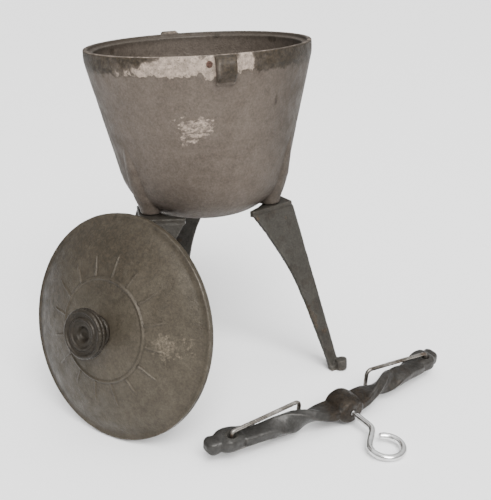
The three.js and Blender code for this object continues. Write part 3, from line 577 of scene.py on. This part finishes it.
def build_pot():
    segs = 288
    outer = spline(POT_OUTER, 2.0)
    inner = spline(POT_INNER, 2.0)
    rim = rounded([(99.95, 295), (99.95, RIM_Z, 0.9), (SEAT_R, RIM_Z, 0.6), (SEAT_R, RIM_Z - SEAT_DEPTH, 0.3), (BORE_R, RIM_Z - SEAT_DEPTH, 0.7), (BORE_R, 284)], 0.6)
    parts = [lathe(np.vstack([outer, rim[1:], inner[1:]]), segs)]
    # bosses that run up into the wall as ribs
    steps = np.array([(0, 0.93, 0), (0.7, 1.0, 0), (5, 1.03, 0.4), (15, 1.25, 2.4), (28, 1.38, 5.2), (44, 1.2, 9.6), (60, 0.8, 14.8), (68, 0.35, 17.4)])
    for deg in LEG_ANGLES:
        loops = []
        for h in np.linspace(0, 68, 35):
            kk = np.interp(h, steps[:, 0], steps[:, 1])
            out = np.interp(h, steps[:, 0], steps[:, 2])
            q = np.arange(40) * 2 * math.pi / 40
            x = BOSS_R + out + BOSS_RAD * kk * np.cos(q)
            y = BOSS_RAD * kk * np.sin(q)
            rr = np.hypot(x, y)
            keep = np.maximum(rr, inner_r(BOSS_Z + h) + 2.5)
            if h > 3:
                x, y = x * keep / rr, y * keep / rr
            loops.append(np.stack([x, y, np.full(40, BOSS_Z + h)], 1))
        v, f = loft(loops)
        a = math.radians(deg + BOSS_TURN)
        v = np.stack([v[:, 0] * math.cos(a) - v[:, 1] * math.sin(a), v[:, 0] * math.sin(a) + v[:, 1] * math.cos(a), v[:, 2]], 1)
        parts.append((v, f))
    # lugs
    for deg, top in LUGS:
        side = rounded([(97.4, 285), (97.4, 277.5), (99.5, 279, 1), (107, 286, 2.5), (108.5, 288, 1.5), (108.5, top - 5, 2), (104, top, 2.0), (99, top, 1.0), (97.4, top - 1), (97.4, 285.2)], 1.0, 1.0)
        mid = side.mean(0)
        loops = []
        for y in np.linspace(-7.9, 7.9, 21):
            edge_in = max(0.0, (abs(y) - 6.6) / 1.3)
            s = 1 - 0.10 * edge_in ** 2
            pts = mid + (side - mid) * s
            pts[:, 0] = np.maximum(pts[:, 0], 97.4)
            loops.append(np.stack([pts[:, 0], np.full(len(pts), y), pts[:, 1]], 1))
        v, f = loft(loops)
        a = math.radians(deg)
        v = np.stack([v[:, 0] * math.cos(a) - v[:, 1] * math.sin(a), v[:, 0] * math.sin(a) + v[:, 1] * math.cos(a), v[:, 2]], 1)
        parts.append((v, f))
    ob = make_mesh("pot", *merge(parts))
    remesh(ob, 0.85, 3)
    # sand-cast unevenness of the outside and inside skin; the ground rim stays true
    p = from_frame(coords(ob))
    no = normals(ob)
    amount = (fbm(p, 0.045, 3, 3) - 0.5) * 0.8 + (fbm(p, 0.25, 3, 9) - 0.5) * 0.34
    amount *= 1 - smooth(287, 296, p[:, 2])
    p = p + no * np.minimum(amount, 0.12)[:, None]
    set_coords(ob, to_frame(p))
    # masks
    r = np.hypot(p[:, 0], p[:, 1])
    th = np.degrees(np.arctan2(p[:, 1], p[:, 0]))
    z = p[:, 2]
    rag = fbm(p, 0.16, 5, 21) - 0.5
    rag2 = fbm(p, 0.5, 4, 33) - 0.5
    outside = smooth(95.7, 97.0, r)
    lug = np.zeros(len(p))
    for deg, top in LUGS:
        d = (th - deg + 180) % 360 - 180
        lug = np.maximum(lug, (1 - smooth(4.6, 5.4, np.abs(d))) * smooth(100.2, 101.2, r))
    lower = 286.2 + rag * 9 + rag2 * 3.4
    band = smooth(lower - 1.2, lower + 1.6, z) * outside
    # ground metal shows bright where it has been rubbed, stained brown elsewhere
    front = spot(th, z, -98, 290, 17.5, 16, 0.3, rag * 0.9) + 0.6 * spot(th, z, -119, 289, 13, 6, 0.6, rag * 2) + spot(th, z, -68.4, 290, 5.0, 16, 0.3, rag * 0.7)
    far = smooth(0.55, 0.64, fbm(p, 0.03, 3, 5)) * (np.abs((th + 90 + 180) % 360 - 180) > 62)
    halo = spot(th, z, -85.3, 292.4, 4.0, 9.4, 0.4, rag2 * 0.5)
    bright = band * np.clip(front + far, 0, 1) * (1 - lug)
    scrape = spot(th, z, -93.0, 241.5, 10.4, 13.2, 0.25, rag * 1.6 + rag2 * 0.9) * outside_wall(p)
    streak = fbm(p * np.array([0.5, 0.5, 2.2]), 0.5, 4, 61) - 0.5
    bright = np.maximum(bright * (0.80 + 0.9 * rag2), 0.5 * scrape * (0.95 + 1.3 * streak))
    bright = np.maximum(bright, halo * 0.95 * (1 - lug))
    # rim lands are clean
    bright = np.maximum(bright, 0.6 * smooth(301.2, 301.8, z) * smooth(95.7, 96.4, r) * (0.7 + rag))
    spots = np.zeros(len(p))
    for a, zz, ra, rz in ((-131.7, 297, 2.0, 3.4), (-145.2, 300, 2.4, 2.2), (-61.2, 293.6, 1.7, 2.8), (-63.5, 292.4, 0.55, 5.2), (-48.1, 259.7, 0.9, 4.5), (40, 296, 3, 3), (150, 293, 2.4, 3), (78, 298, 2, 2.4)):
        spots = np.maximum(spots, spot(th, z, a, zz, ra, rz, 0.3, rag2 * 0.8))
    rust = spot(th, z, -85.3, 295.0, 1.6, 2.8, 0.6, rag2 * 0.4) + 0.25 * spots
    stain_and_shade = band * (1 - np.clip(bright * 1.6, 0, 1)) * (0.98 + 0.5 * rag)
    stain_and_shade = np.maximum(stain_and_shade, 0.85 * spots)
    stain_and_shade = np.maximum(stain_and_shade, lug * (0.82 + 0.4 * rag2))
    stain_and_shade = stain_and_shade * (1 - halo * 0.9) * (1 - np.clip(rust, 0, 1))
    edge, hollow_shade = edge_mask(ob, 14, 0.5)
    set_mask(ob, "bright", bright)
    set_mask(ob, "rust", rust)
    set_mask(ob, "stain_and_shade", stain_and_shade)
    set_mask(ob, "edge", edge * 0.8 * (z < 300.6))
    # painted shade: hollows, the inside of the pot, the inner wall under the rim and the left and right sides of the
    # outside are darkened
    inside = (r < np.maximum(inner_r(z), 50) + 1.2) & (z > 150)
    lip = smooth(292, 299, z) * (1 - smooth(95.4, 95.9, r))
    side_shade = 0.95 * smooth(30, 74, np.abs((th + 101 + 180) % 360 - 180)) * (1 - inside) * (0.9 + 0.5 * rag)
    set_mask(ob, "hollow_shade", np.clip(hollow_shade * 0.4 + 0.3 * inside + 0.75 * lip + side_shade, 0, 1))
    dress(ob, POT_MAT, "pot", ["pot_body"])
    return ob


def outside_wall(p):
    r = np.hypot(p[:, 0], p[:, 1])
    return (r > inner_r(p[:, 2]) + 3).astype(float)


# --------------------------------------------------------------------- the lid
def dome_h(r):
    rs = np.array([p[0] for p in DOME])
    zs = np.array([p[1] for p in DOME])
    # a smooth curve through the stated heights
    dense = spline(DOME, 1.0)
    return np.interp(r, dense[:, 0], dense[:, 1])


def build_lid():
    segs = 960
    rr = np.concatenate([np.arange(3.7, 38, 0.8), np.arange(38, 64, 0.35), np.arange(64, 87.4, 0.8), np.arange(87.4, 92.4, 0.4)])
    ang = np.arange(segs) * 2 * math.pi / segs
    R, A = np.meshgrid(rr, ang, indexing="ij")
    H = dome_h(R)
    # raised ring with a sharp outer step
    d = R - (RING_R - 0.2)
    H += 0.95 * np.exp(-((d / 1.15) ** 2)) + 0.35 * (1 - smooth(-0.5, 1.8, d)) * smooth(-16, -1, d)
    # ribs, each a little different, fading at the outer end
    P = np.stack([R * np.cos(A), R * np.sin(A), np.zeros_like(R)], 2).reshape(-1, 3)
    wobble = (fbm(P, 0.05, 3, 71).reshape(R.shape) - 0.5) * 1.6
    for i in range(RIBS):
        a0 = i / RIBS * 2 * math.pi + 0.28
        t = R * np.sin(A - a0) + wobble * 0.5
        ahead = np.cos(A - a0) > 0
        long = 1.0 + 0.05 * math.sin(i * 2.3)
        along = smooth(RIB_IN - 0.8, RIB_IN + 1.0, R) * (1 - smooth(RIB_OUT * long - 4.5, RIB_OUT * long + 0.8, R))
        H += ahead * 1.0 * along * np.exp(-((t / (0.95 - 0.35 * smooth(44, 62, R))) ** 2))
    H += (fbm(P, 0.03, 3, 55).reshape(R.shape) - 0.5) * 0.5 * smooth(4, 14, R)
    top = np.stack([R * np.cos(A), R * np.sin(A), H], 2)
    rim = rounded([(92.3, H[-1].mean()), (LID_R - 0.62, -0.1, 0.7), (LID_R - 0.62, -LID_EDGE + 0.1, 0.9), (85, -LID_EDGE + 0.1, 0.6), (85, -2.2, 0.8), (82, 0.4, 1.5), (74, 2.8), (60, 8.0), (40, 13.3), (20, 16.5), (3.7, 17.5, 0.2)], 0.8, 1.2)[1:]
    loops = [top[i] for i in range(len(rr))]
    for r0, z0 in rim:
        loops.append(np.stack([r0 * np.cos(ang), r0 * np.sin(ang), np.full(segs, z0)], 1))
    v, f = loft(loops, closed=True)
    low = v[:, 2] < 0.0
    nick = (fbm(v, 0.2, 3, 90) - 0.5) * 0.35
    radial = np.hypot(v[:, 0], v[:, 1])
    pull = np.where(radial > 92.6, np.minimum(nick, 0), 0)
    v[:, 0] *= 1 + pull / radial
    v[:, 1] *= 1 + pull / radial
    ob = make_mesh("lid_casting", lid_to_pot(v), f)
    fix_normals(ob)
    p = in_axes(from_frame(coords(ob)), LID_CENTRE, LID_X, LID_Y, LID_N)
    r = np.hypot(p[:, 0], p[:, 1])
    rag = fbm(p, 0.13, 5, 41) - 0.5
    rag2 = fbm(p, 0.45, 4, 47) - 0.5
    edge, hollow_shade = edge_mask(ob, 10, 0.42)
    topside = p[:, 2] > dome_h(np.minimum(r, 90)) - 1.6
    rust = spot(p[:, 0], p[:, 1], 64, -2, 15, 12, 0.7, rag * 2.6 + rag2 * 1.6) * 0.5
    bright = 0.75 * smooth(91.9, 92.9, r) * (0.55 + 1.2 * rag) * (p[:, 2] > -1.6)
    bright = np.maximum(bright, 0.2 * smooth(0.1, 0.25, rag))
    # painted shade: the upper left, a band across the top, the left side, the border ring and the groove beside the
    # raised ring are darkened, and the lower right is left lighter
    stain_and_shade = 0.55 * smooth(0.0, 0.22, fbm(p, 0.02, 4, 12) - 0.46) * (1 - smooth(0, 70, p[:, 0] * 0.6 - p[:, 1] * 0.7 + 20))
    stain_and_shade = np.maximum(stain_and_shade, 0.62 * spot(p[:, 0], p[:, 1], -8, 66, 66, 26, 0.7, rag * 2))
    stain_and_shade = np.maximum(stain_and_shade, 1.0 * (1 - smooth(-84, -22, p[:, 0] + rag * 14)))
    stain_and_shade = np.maximum(stain_and_shade, 0.38 * smooth(80, 84, r) * (1 - smooth(91, 92, r)) * (0.5 + rag))
    stain_and_shade = np.maximum(stain_and_shade, 0.8 * np.clip(hollow_shade * 2, 0, 1) * ((r > 40) & (r < 47)))
    set_mask(ob, "bright", bright)
    set_mask(ob, "rust", rust * topside)
    set_mask(ob, "stain_and_shade", stain_and_shade * (1 - rust))
    set_mask(ob, "edge", np.clip(edge * 0.8, 0, 1))
    set_mask(ob, "hollow_shade", np.clip(hollow_shade * 1.2, 0, 1))
    dress(ob, LID_MAT, "lid", ["lid"])


def fix_normals(ob):
    import bmesh
    bm = bmesh.new()
    bm.from_mesh(ob.data)
    bmesh.ops.recalc_face_normals(bm, faces=bm.faces)
    bm.to_mesh(ob.data)
    bm.free()
    ob.data.shade_smooth()


def build_knob():
    prof = [
        (0, 8.7), (2.6, 8.7), (3.35, 9.4, 0.3), (3.35, KNOB_BASE, 0.1), (11.6, KNOB_BASE, 0.4), (13.2, KNOB_BASE + 0.9, 0.8), (13.6, KNOB_BASE + 2.4, 1),
        (12.8, KNOB_BASE + 4, 1), (10.4, KNOB_BASE + 5, 1), (8.8, KNOB_BASE + 7, 2), (9.2, KNOB_BASE + 9.4, 2), (14, KNOB_BASE + 11, 1.5),
        (18.6, KNOB_BASE + 11.8, 0.6), (19.0, KNOB_BASE + 12.4, 0.3), (20.3, KNOB_BASE + 13.4, 0.7), (20.35, KNOB_BASE + 15.0, 0.6), (19.5, KNOB_BASE + 16.0, 0.25),
        (20.1, KNOB_BASE + 16.7, 0.5), (20.0, KNOB_FACE - 1.2, 0.7), (18.6, KNOB_FACE, 0.6), (17.2, KNOB_FACE, 0.4), (16.2, KNOB_FACE - 1.1, 0.4), (13.6, KNOB_FACE - 1.3, 0.4),
        (12.8, KNOB_FACE - 0.3, 0.3), (11.4, KNOB_FACE - 0.2, 0.4), (10.4, KNOB_FACE - 1.3, 0.4), (7.2, KNOB_FACE - 1.5, 0.8), (6.2, KNOB_FACE - 2.2, 0.8),
        (4.6, KNOB_FACE - 5.2, 1.4), (0, KNOB_FACE - 5.8),
    ]
    pts = rounded(prof, 0.4, 0.35)

    def beads(rr, zz, ang):
        w = float(smooth(18.9, 19.8, np.array([rr[0]]))[0]) * float(zz[0] > KNOB_BASE + 12)
        return rr - 0.16 * w * (0.5 + 0.5 * np.cos(ang * 46)), zz

    v, f = lathe(pts, 368, beads)
    wob = (fbm(v, 0.22, 3, 61) - 0.5) * 0.5
    v = v * np.array([1, 1, 1.0])
    rr = np.hypot(v[:, 0], v[:, 1])
    ok = rr > 4
    v[ok, 0] *= (1 + np.minimum(wob[ok], 0.02) / rr[ok] * 0.6)
    v[ok, 1] *= (1 + np.minimum(wob[ok], 0.02) / rr[ok] * 0.6)
    ob = make_mesh("knob_casting", lid_to_pot(v), f)
    fix_normals(ob)
    p = in_axes(from_frame(coords(ob)), LID_CENTRE, LID_X, LID_Y, LID_N)
    edge, hollow_shade = edge_mask(ob, 12, 0.32)
    rag = fbm(p, 0.4, 4, 77) - 0.5
    set_mask(ob, "edge", edge)
    set_mask(ob, "hollow_shade", hollow_shade)
    set_mask(ob, "stain_and_shade", 0.35 + 0.9 * rag)
    set_mask(ob, "rust", 0.25 * smooth(0.1, 0.26, fbm(p, 0.3, 4, 79) - 0.5))
    dress(ob, KNOB_MAT, "lid", ["lid_knob"])


# ------------------------------------------------------------------- the clamp
def arch(x):
    return -ARCH * np.minimum(1, (np.maximum(0, np.abs(x) - 10) / (HOLE_X - 10)) ** 1.35)


def bow(x):
    return np.where(x > 0, 2.8, 1.6) * smooth(8, 40, np.abs(x)) * (1 - smooth(60, 95, np.abs(x)))


def round_rect(w, t, r, n=6):
    out = []
    for cx, cy, a0 in ((w / 2 - r, t / 2 - r, 0), (-w / 2 + r, t / 2 - r, 90), (-w / 2 + r, -t / 2 + r, 180), (w / 2 - r, -t / 2 + r, 270)):
        for k in range(n + 1):
            a = math.radians(a0 + 90 * k / n)
            out.append((cx + r * math.cos(a), cy + r * math.sin(a)))
    return np.array(out)


def build_bar():
    x1 = HOLE_X - 8.5
    loops = []
    for x in np.linspace(-x1, x1, 240):
        a = abs(x)
        q = min(1, max(0, (a - 14) / (HOLE_X - 24 - 14)))
        tw = math.pi * (q * q * (3 - 2 * q))
        w, t = BAR_W * (1 - 0.26 * q), BAR_T * (1 - 0.06 * q)
        # the flat faces are slightly dished where the bar is twisted
        dish = 0.9 * math.sin(tw) ** 2
        sec = round_rect(w, t, 2.4, 6)
        sec[:, 1] *= 1 - dish * 0.16 * (1 - (sec[:, 0] / (w / 2)) ** 2)
        c, s = math.cos(tw), math.sin(tw)
        loops.append(np.stack([np.full(len(sec), x), float(bow(x)) + sec[:, 0] * s + sec[:, 1] * c, float(arch(np.array([x]))[0]) + sec[:, 0] * c - sec[:, 1] * s], 1))
    parts = [loft(loops)]
    boss = rounded([(0, -12.4), (9.4, -12.4, 1.2), (11.8, -10.4, 1.6), (12.9, -5, 2), (12.9, 5, 2), (11.6, 10.4, 1.6), (9, 12.4, 1.2), (0, 12.4)], 1.2, 0.8)
    v, f = lathe(boss, 96)
    v = v * np.array([1.08, 0.91, 1])
    parts.append((v, f))
    for sgn in (-1, 1):
        rows = spline(HEAD, 0.8)
        lp = []
        for dx, hw, ht, dz, dy in rows:
            a = (np.arange(48) + 0.5) / 48 * 2 * math.pi
            e = 0.5
            lp.append(np.stack([
                np.full(48, sgn * (HOLE_X + dx)),
                dy + ht * np.sign(np.sin(a)) * np.abs(np.sin(a)) ** e,
                -ARCH + dz + hw * np.sign(np.cos(a)) * np.abs(np.cos(a)) ** e,
            ], 1))
        parts.append(loft(lp))
    v, f = merge(parts)
    ob = make_mesh("bar_casting", clamp_to_pot(v), f)
    remesh(ob, 0.55, 4)
    tools = []
    for sgn in (-1, 1):
        tools.append(peg((sgn * HOLE_X, 0, -ARCH), (0, 1, 0), HOLE_R - 0.05, 20))
    tools.append(peg((0, 0, 0), (0, 0, 1), SCREW_BAR_R + 0.32, 24))
    cut(ob, tools)
    p = in_axes(from_frame(coords(ob)), CLAMP_AT, CU, CY, CZ)
    no = normals(ob)
    lump = (fbm(p, 0.1, 4, 15) - 0.5) * 0.7 + (fbm(p, 0.45, 3, 18) - 0.5) * 0.3
    keep = np.minimum.reduce([
        smooth(4.2, 6, np.hypot(p[:, 0], p[:, 1])),
        smooth(4.6, 6.4, np.hypot(p[:, 0] - HOLE_X, p[:, 2] + ARCH)),
        smooth(4.6, 6.4, np.hypot(p[:, 0] + HOLE_X, p[:, 2] + ARCH)),
    ])
    w = from_frame(coords(ob)) + no * (np.minimum(lump, 0.1) * keep)[:, None]
    set_coords(ob, to_frame(w))
    rag = fbm(p, 0.12, 5, 25) - 0.5
    rag2 = fbm(p, 0.5, 4, 27) - 0.5
    edge, hollow_shade = edge_mask(ob, 16, 0.5)
    ax = np.abs(p[:, 0])
    boss_m = 1 - smooth(17, 30, ax + rag * 14)
    set_mask(ob, "rust", np.clip(boss_m * (0.4 + rag2) + 0.3 * smooth(0.12, 0.3, rag) * (ax > 90), 0, 1))
    set_mask(ob, "stain_and_shade", np.clip(boss_m * (1.1 - rag2) + 0.3 * smooth(0.02, 0.22, rag) + 0.42 * smooth(10, 40, p[:, 0]) * (0.8 + rag), 0, 1))
    # painted sheen: pale patches on the left arm only
    set_mask(ob, "bright", 0.3 * smooth(0.04, 0.2, -rag) * (1 - boss_m) * (p[:, 0] < 0))
    set_mask(ob, "edge", edge * (1 - 0.7 * boss_m))
    set_mask(ob, "hollow_shade", np.clip(hollow_shade * 1.2, 0, 1))
    dress(ob, BAR_MAT, "clamp_bar", ["clamp_bar"])


def peg(at, axis, r, half):
    """A round cutter in the clamp's own frame."""
    prof = [(0, -half), (r, -half), (r, half), (0, half)]
    v, f = lathe(np.array(prof, float), 40)
    axis = np.array(axis, float)
    if abs(axis[2]) < 0.5:
        v = np.stack([v[:, 0], v[:, 2], -v[:, 1]], 1)
    ob = make_mesh("cutter", clamp_to_pot(v + np.array(at, float)), f)
    fix_normals(ob)
    return ob


def bail_path():
    corners = [(BAIL_LONG, BAIL_FAR_TOP, 4.5), (0, BAIL_NEAR_H, 2.6), (0, -BAIL_NEAR_H, 2.6), (BAIL_LONG, -BAIL_FAR_LOW, 4.5)]
    pts = []
    for i, (x, y, r) in enumerate(corners):
        p = np.array([x, y], float)
        prev = np.array(corners[(i + 3) % 4][:2], float)
        nxt = np.array(corners[(i + 1) % 4][:2], float)
        a = (prev - p) / np.linalg.norm(prev - p)
        b = (nxt - p) / np.linalg.norm(nxt - p)
        half = math.acos(a @ b) / 2
        mid = a + b
        mid = p + mid / np.linalg.norm(mid) * r / math.sin(half)
        s = p + a * r / math.tan(half) - mid
        e = p + b * r / math.tan(half) - mid
        for k in range(11):
            w = s * (1 - k / 10) + e * k / 10
            pts.append(mid + w / np.linalg.norm(w) * r)
    pts = np.array(pts)
    dense = []
    for a, b in zip(pts, np.roll(pts, -1, 0)):
        n = max(1, int(np.linalg.norm(b - a) / 1.0))
        for k in range(n):
            dense.append(a + (b - a) * k / n)
    return np.array(dense)


def build_bails():
    flat = bail_path()
    for sgn, fold, name in ((-1, BAIL_FOLD[0], "bail_left"), (1, BAIL_FOLD[1], "bail_right")):
        fold = math.radians(fold)
        d = np.array([-sgn * math.cos(fold), 0, -math.sin(fold)])
        y = np.array([0, 1.0, 0])
        z = np.cross(d, y)
        # hand-bent wire: the long sides wander a little out of plane
        wav = 0.22 * np.sin(flat[:, 0] / BAIL_LONG * math.pi) * np.sign(flat[:, 1])
        pts = np.array([sgn * HOLE_X, 0, -ARCH]) + flat[:, :1] * d + flat[:, 1:2] * y + wav[:, None] * z * 0.6
        v, f = wire(pts, BAIL_WIRE - 0.02, 20, closed=True)
        c = clamp_to_pot(v)
        ob = make_mesh(name + "_wire", c, f)
        fix_normals(ob)
        p = in_axes(from_frame(coords(ob)), CLAMP_AT, CU, CY, CZ)
        far = 1 - smooth(36, 46, np.abs(p[:, 0]))
        near = smooth(101, 105, np.abs(p[:, 0]))
        rag = fbm(p, 0.3, 4, 95) - 0.5
        set_mask(ob, "stain_and_shade", np.clip(far * (0.65 + rag) + near * (0.55 + rag) + 0.35 * smooth(0.08, 0.2, rag), 0, 1))
        set_mask(ob, "rust", np.clip(0.6 * smooth(0.1, 0.24, fbm(p, 0.22, 4, 97) - 0.5), 0, 1))
        dress(ob, BAIL_MAT, name, [name])


def build_eye():
    head = [(0, 0, EYE_AT - 28), (-0.7, 0, EYE_AT - 23.6), (-3.4, 0, EYE_AT - 19.8), (-8.2, 0, EYE_AT - 15.8), (-13.2, 0, EYE_AT - 11.8)]
    n = 60
    ring = []
    for k in range(n + 1):
        a = math.radians(212 + (-70 - 212) * k / n)
        ring.append((EYE_SIDE + EYE_R * math.cos(a), 0.0, EYE_AT + EYE_R * math.sin(a)))
    curve = spline([(0, 0, EYE_AT - 36)] + head + ring, 0.7)
    shank_z = np.arange(TIP_AT, EYE_AT - 36, 0.16)
    shank = np.stack([np.zeros(len(shank_z)), np.zeros(len(shank_z)), shank_z], 1)
    pts = np.vstack([shank, curve])
    sides = 28
    ang = np.arange(sides) * 2 * math.pi / sides
    pitch = 1.0
    radii = []
    for x, y, z in pts:
        base = np.full(sides, SCREW_BAR_R - 0.06)
        if abs(x) < 1e-9 and z < EYE_AT - 36:
            # rolled thread from the tip to just outside the boss
            t = ((z / pitch + ang / (2 * math.pi)) % 1.0)
            depth = 0.42 * float(1 - smooth(12.0, 15.0, np.array([z]))[0])
            base = base - depth * (0.5 + 0.5 * np.cos(2 * math.pi * t))
            base = base - 0.9 * float(1 - smooth(TIP_AT, TIP_AT + 1.6, np.array([z]))[0])
        radii.append(base)
    # soft cut end of the ring
    for k in range(5):
        radii[-1 - k] = radii[-1 - k] * (1 - 0.16 * (1 - k / 5) ** 2)
    v, f = wire(pts, np.array(radii), sides)
    ob = make_mesh("eye_screw_wire", clamp_to_pot(v), f)
    fix_normals(ob)
    p = in_axes(from_frame(coords(ob)), CLAMP_AT, CU, CY, CZ)
    rag = fbm(p, 0.3, 4, 15) - 0.5
    set_mask(ob, "stain_and_shade", np.clip((1 - smooth(12, 15, p[:, 2])) * 0.7 + 0.25 * smooth(0.14, 0.26, rag), 0, 1))
    set_mask(ob, "rust", np.clip((1 - smooth(-11, -6, p[:, 2])) * 0.5, 0, 1))
    dress(ob, EYE_MAT, "eye_screw", ["eye_screw"])


# --------------------------------------------------- legs, screws and the nut
def copy_of(node, name, body, mat, voxel, smooth_steps, marks):
    """A detailed casting made over a CAD node's own shape."""
    src = frame["nodes"][node]
    me = src.data.copy()
    me.name = name
    ob = bpy.data.objects.new(name, me)
    bpy.context.scene.collection.objects.link(ob)
    for a in list(me.attributes):
        if not a.is_required and a.name not in ("position", ".edge_verts", ".corner_vert", ".corner_edge", "sharp_face"):
            try:
                me.attributes.remove(a)
            except RuntimeError:
                pass
    weld = ob.modifiers.new("weld", "WELD")
    weld.merge_threshold = 1e-6
    bake_modifiers(ob)
    remesh(ob, voxel, smooth_steps)
    p = from_frame(coords(ob))
    no = normals(ob)
    lump = (fbm(p, 0.07, 4, 115) - 0.5) * 0.9 + (fbm(p, 0.4, 3, 118) - 0.5) * 0.3
    lump *= smooth(0.3, 3, p[:, 2])
    set_coords(ob, to_frame(p + no * np.minimum(lump, 0.08)[:, None]))
    marks(ob, p)
    dress(ob, mat, body, [node])
    return ob


def leg_marks(ob, p):
    rag = fbm(p, 0.14, 5, 121) - 0.5
    rag2 = fbm(p, 0.5, 4, 123) - 0.5
    edge, hollow_shade = edge_mask(ob, 16, 0.55)
    low = 1 - smooth(2, 13, p[:, 2])
    set_mask(ob, "edge", np.clip(edge * (0.75 + 0.6 * low), 0, 1))
    set_mask(ob, "hollow_shade", hollow_shade)
    set_mask(ob, "bright", np.clip(0.75 * (1 - smooth(0, 3.2, p[:, 2])) + low * (0.2 + 0.9 * rag2) + 0.26 * smooth(0.1, 0.22, rag), 0, 1))
    # random stains, and painted shade at the top of the leg just under the pot
    set_mask(ob, "stain_and_shade", np.clip(0.4 * smooth(0.02, 0.2, rag) + 0.6 * smooth(150, 158, p[:, 2]) * (0.5 + rag), 0, 1))
    set_mask(ob, "rust", 0.55 * smooth(0.12, 0.24, fbm(p, 0.06, 4, 127) - 0.5))


def small_marks(ob, p):
    edge, hollow_shade = edge_mask(ob, 8, 0.25)
    set_mask(ob, "edge", edge)
    set_mask(ob, "hollow_shade", hollow_shade)
    set_mask(ob, "rust", 0.6 * smooth(0.5, 0.7, fbm(p, 0.5, 4, 131)))


build_pot()
for leg in ("leg_right", "leg_left", "leg_back"):
    copy_of(leg, leg + "_casting", "pot", LEG_MAT, 0.8, 4, leg_marks)
for part in ("leg_screw_right", "leg_screw_left", "leg_screw_back"):
    copy_of(part, part + "_turned", "pot", SCREW_MAT, 0.3, 1, small_marks)
copy_of("knob_nut", "knob_nut_turned", "lid", SCREW_MAT, 0.35, 1, small_marks)
build_lid()
build_knob()
build_bar()
build_bails()
build_eye()


# ------------------------------------------------------------ floor and light
def floor():
    me = bpy.data.meshes.new("floor")
    s = 40.0
    me.from_pydata([(-s, -s, 0), (s, -s, 0), (s, s, 0), (-s, s, 0)], [], [(0, 1, 2, 3)])
    ob = bpy.data.objects.new("floor", me)
    bpy.context.scene.collection.objects.link(ob)
    m = bpy.data.materials.new("floor")
    m.use_nodes = True
    b = m.node_tree.nodes["Principled BSDF"]
    b.inputs["Base Color"].default_value = (0.93, 0.93, 0.93, 1)
    b.inputs["Roughness"].default_value = 0.9
    me.materials.append(m)


def area(name, at, target, size, power, colour=(1, 1, 1)):
    li = bpy.data.lights.new(name, "AREA")
    li.shape = "RECTANGLE"
    li.size, li.size_y = size
    li.energy = power
    li.color = colour
    ob = bpy.data.objects.new(name, li)
    ob.location = at
    ob.rotation_euler = (Vector(target) - Vector(at)).to_track_quat("-Z", "Y").to_euler()
    bpy.context.scene.collection.objects.link(ob)


floor()
world = bpy.data.worlds.new("studio")
world.use_nodes = True
wt = world.node_tree
back = wt.nodes["Background"]
back.inputs[0].default_value = (1, 1, 1, 1)
# a bright ceiling over a dim room
where = wt.nodes.new("ShaderNodeTexCoord")
parts_xyz = wt.nodes.new("ShaderNodeSeparateXYZ")
span = wt.nodes.new("ShaderNodeMapRange")
span.inputs["From Min"].default_value = 0.0
span.inputs["From Max"].default_value = 1.0
span.inputs["To Min"].default_value = 0.22
span.inputs["To Max"].default_value = 1.5
wt.links.new(where.outputs["Generated"], parts_xyz.inputs[0])
wt.links.new(parts_xyz.outputs["Z"], span.inputs["Value"])
wt.links.new(span.outputs[0], back.inputs[1])
bpy.context.scene.world = world
sun_data = bpy.data.lights.new("key", "SUN")
sun_data.energy = 6.2
sun_data.angle = math.radians(38)
sun = bpy.data.objects.new("key", sun_data)
sun.rotation_euler = Vector((-0.16, 0.70, -0.69)).to_track_quat("-Z", "Y").to_euler()
bpy.context.scene.collection.objects.link(sun)
area("top", (0.5, -0.5, 2.2), (0, 0, 0.1), (1.6, 1.6), 14)

cam_data = bpy.data.cameras.new("view")
cam_data.sensor_width = 36
cam_data.lens = 892.638 / 500 * 36
cam_data.clip_start, cam_data.clip_end = 0.02, 50
cam = bpy.data.objects.new("view", cam_data)
yaw, pitch, roll = math.radians(2.4246), math.radians(19.1163), math.radians(-2.6049)
fwd = Vector((math.sin(yaw) * math.cos(pitch), math.cos(yaw) * math.cos(pitch), -math.sin(pitch)))
r0 = Vector((math.cos(yaw), -math.sin(yaw), 0))
u0 = r0.cross(fwd)
right = math.cos(roll) * r0 + math.sin(roll) * u0
up = -math.sin(roll) * r0 + math.cos(roll) * u0
rot = Matrix((right, up, -fwd)).transposed()
cam.matrix_world = Matrix.Translation(Vector((np.array([0, -800, 384.734]) + SHIFT) / 1000)) @ rot.to_4x4()
bpy.context.scene.collection.objects.link(cam)
bpy.context.scene.camera = cam
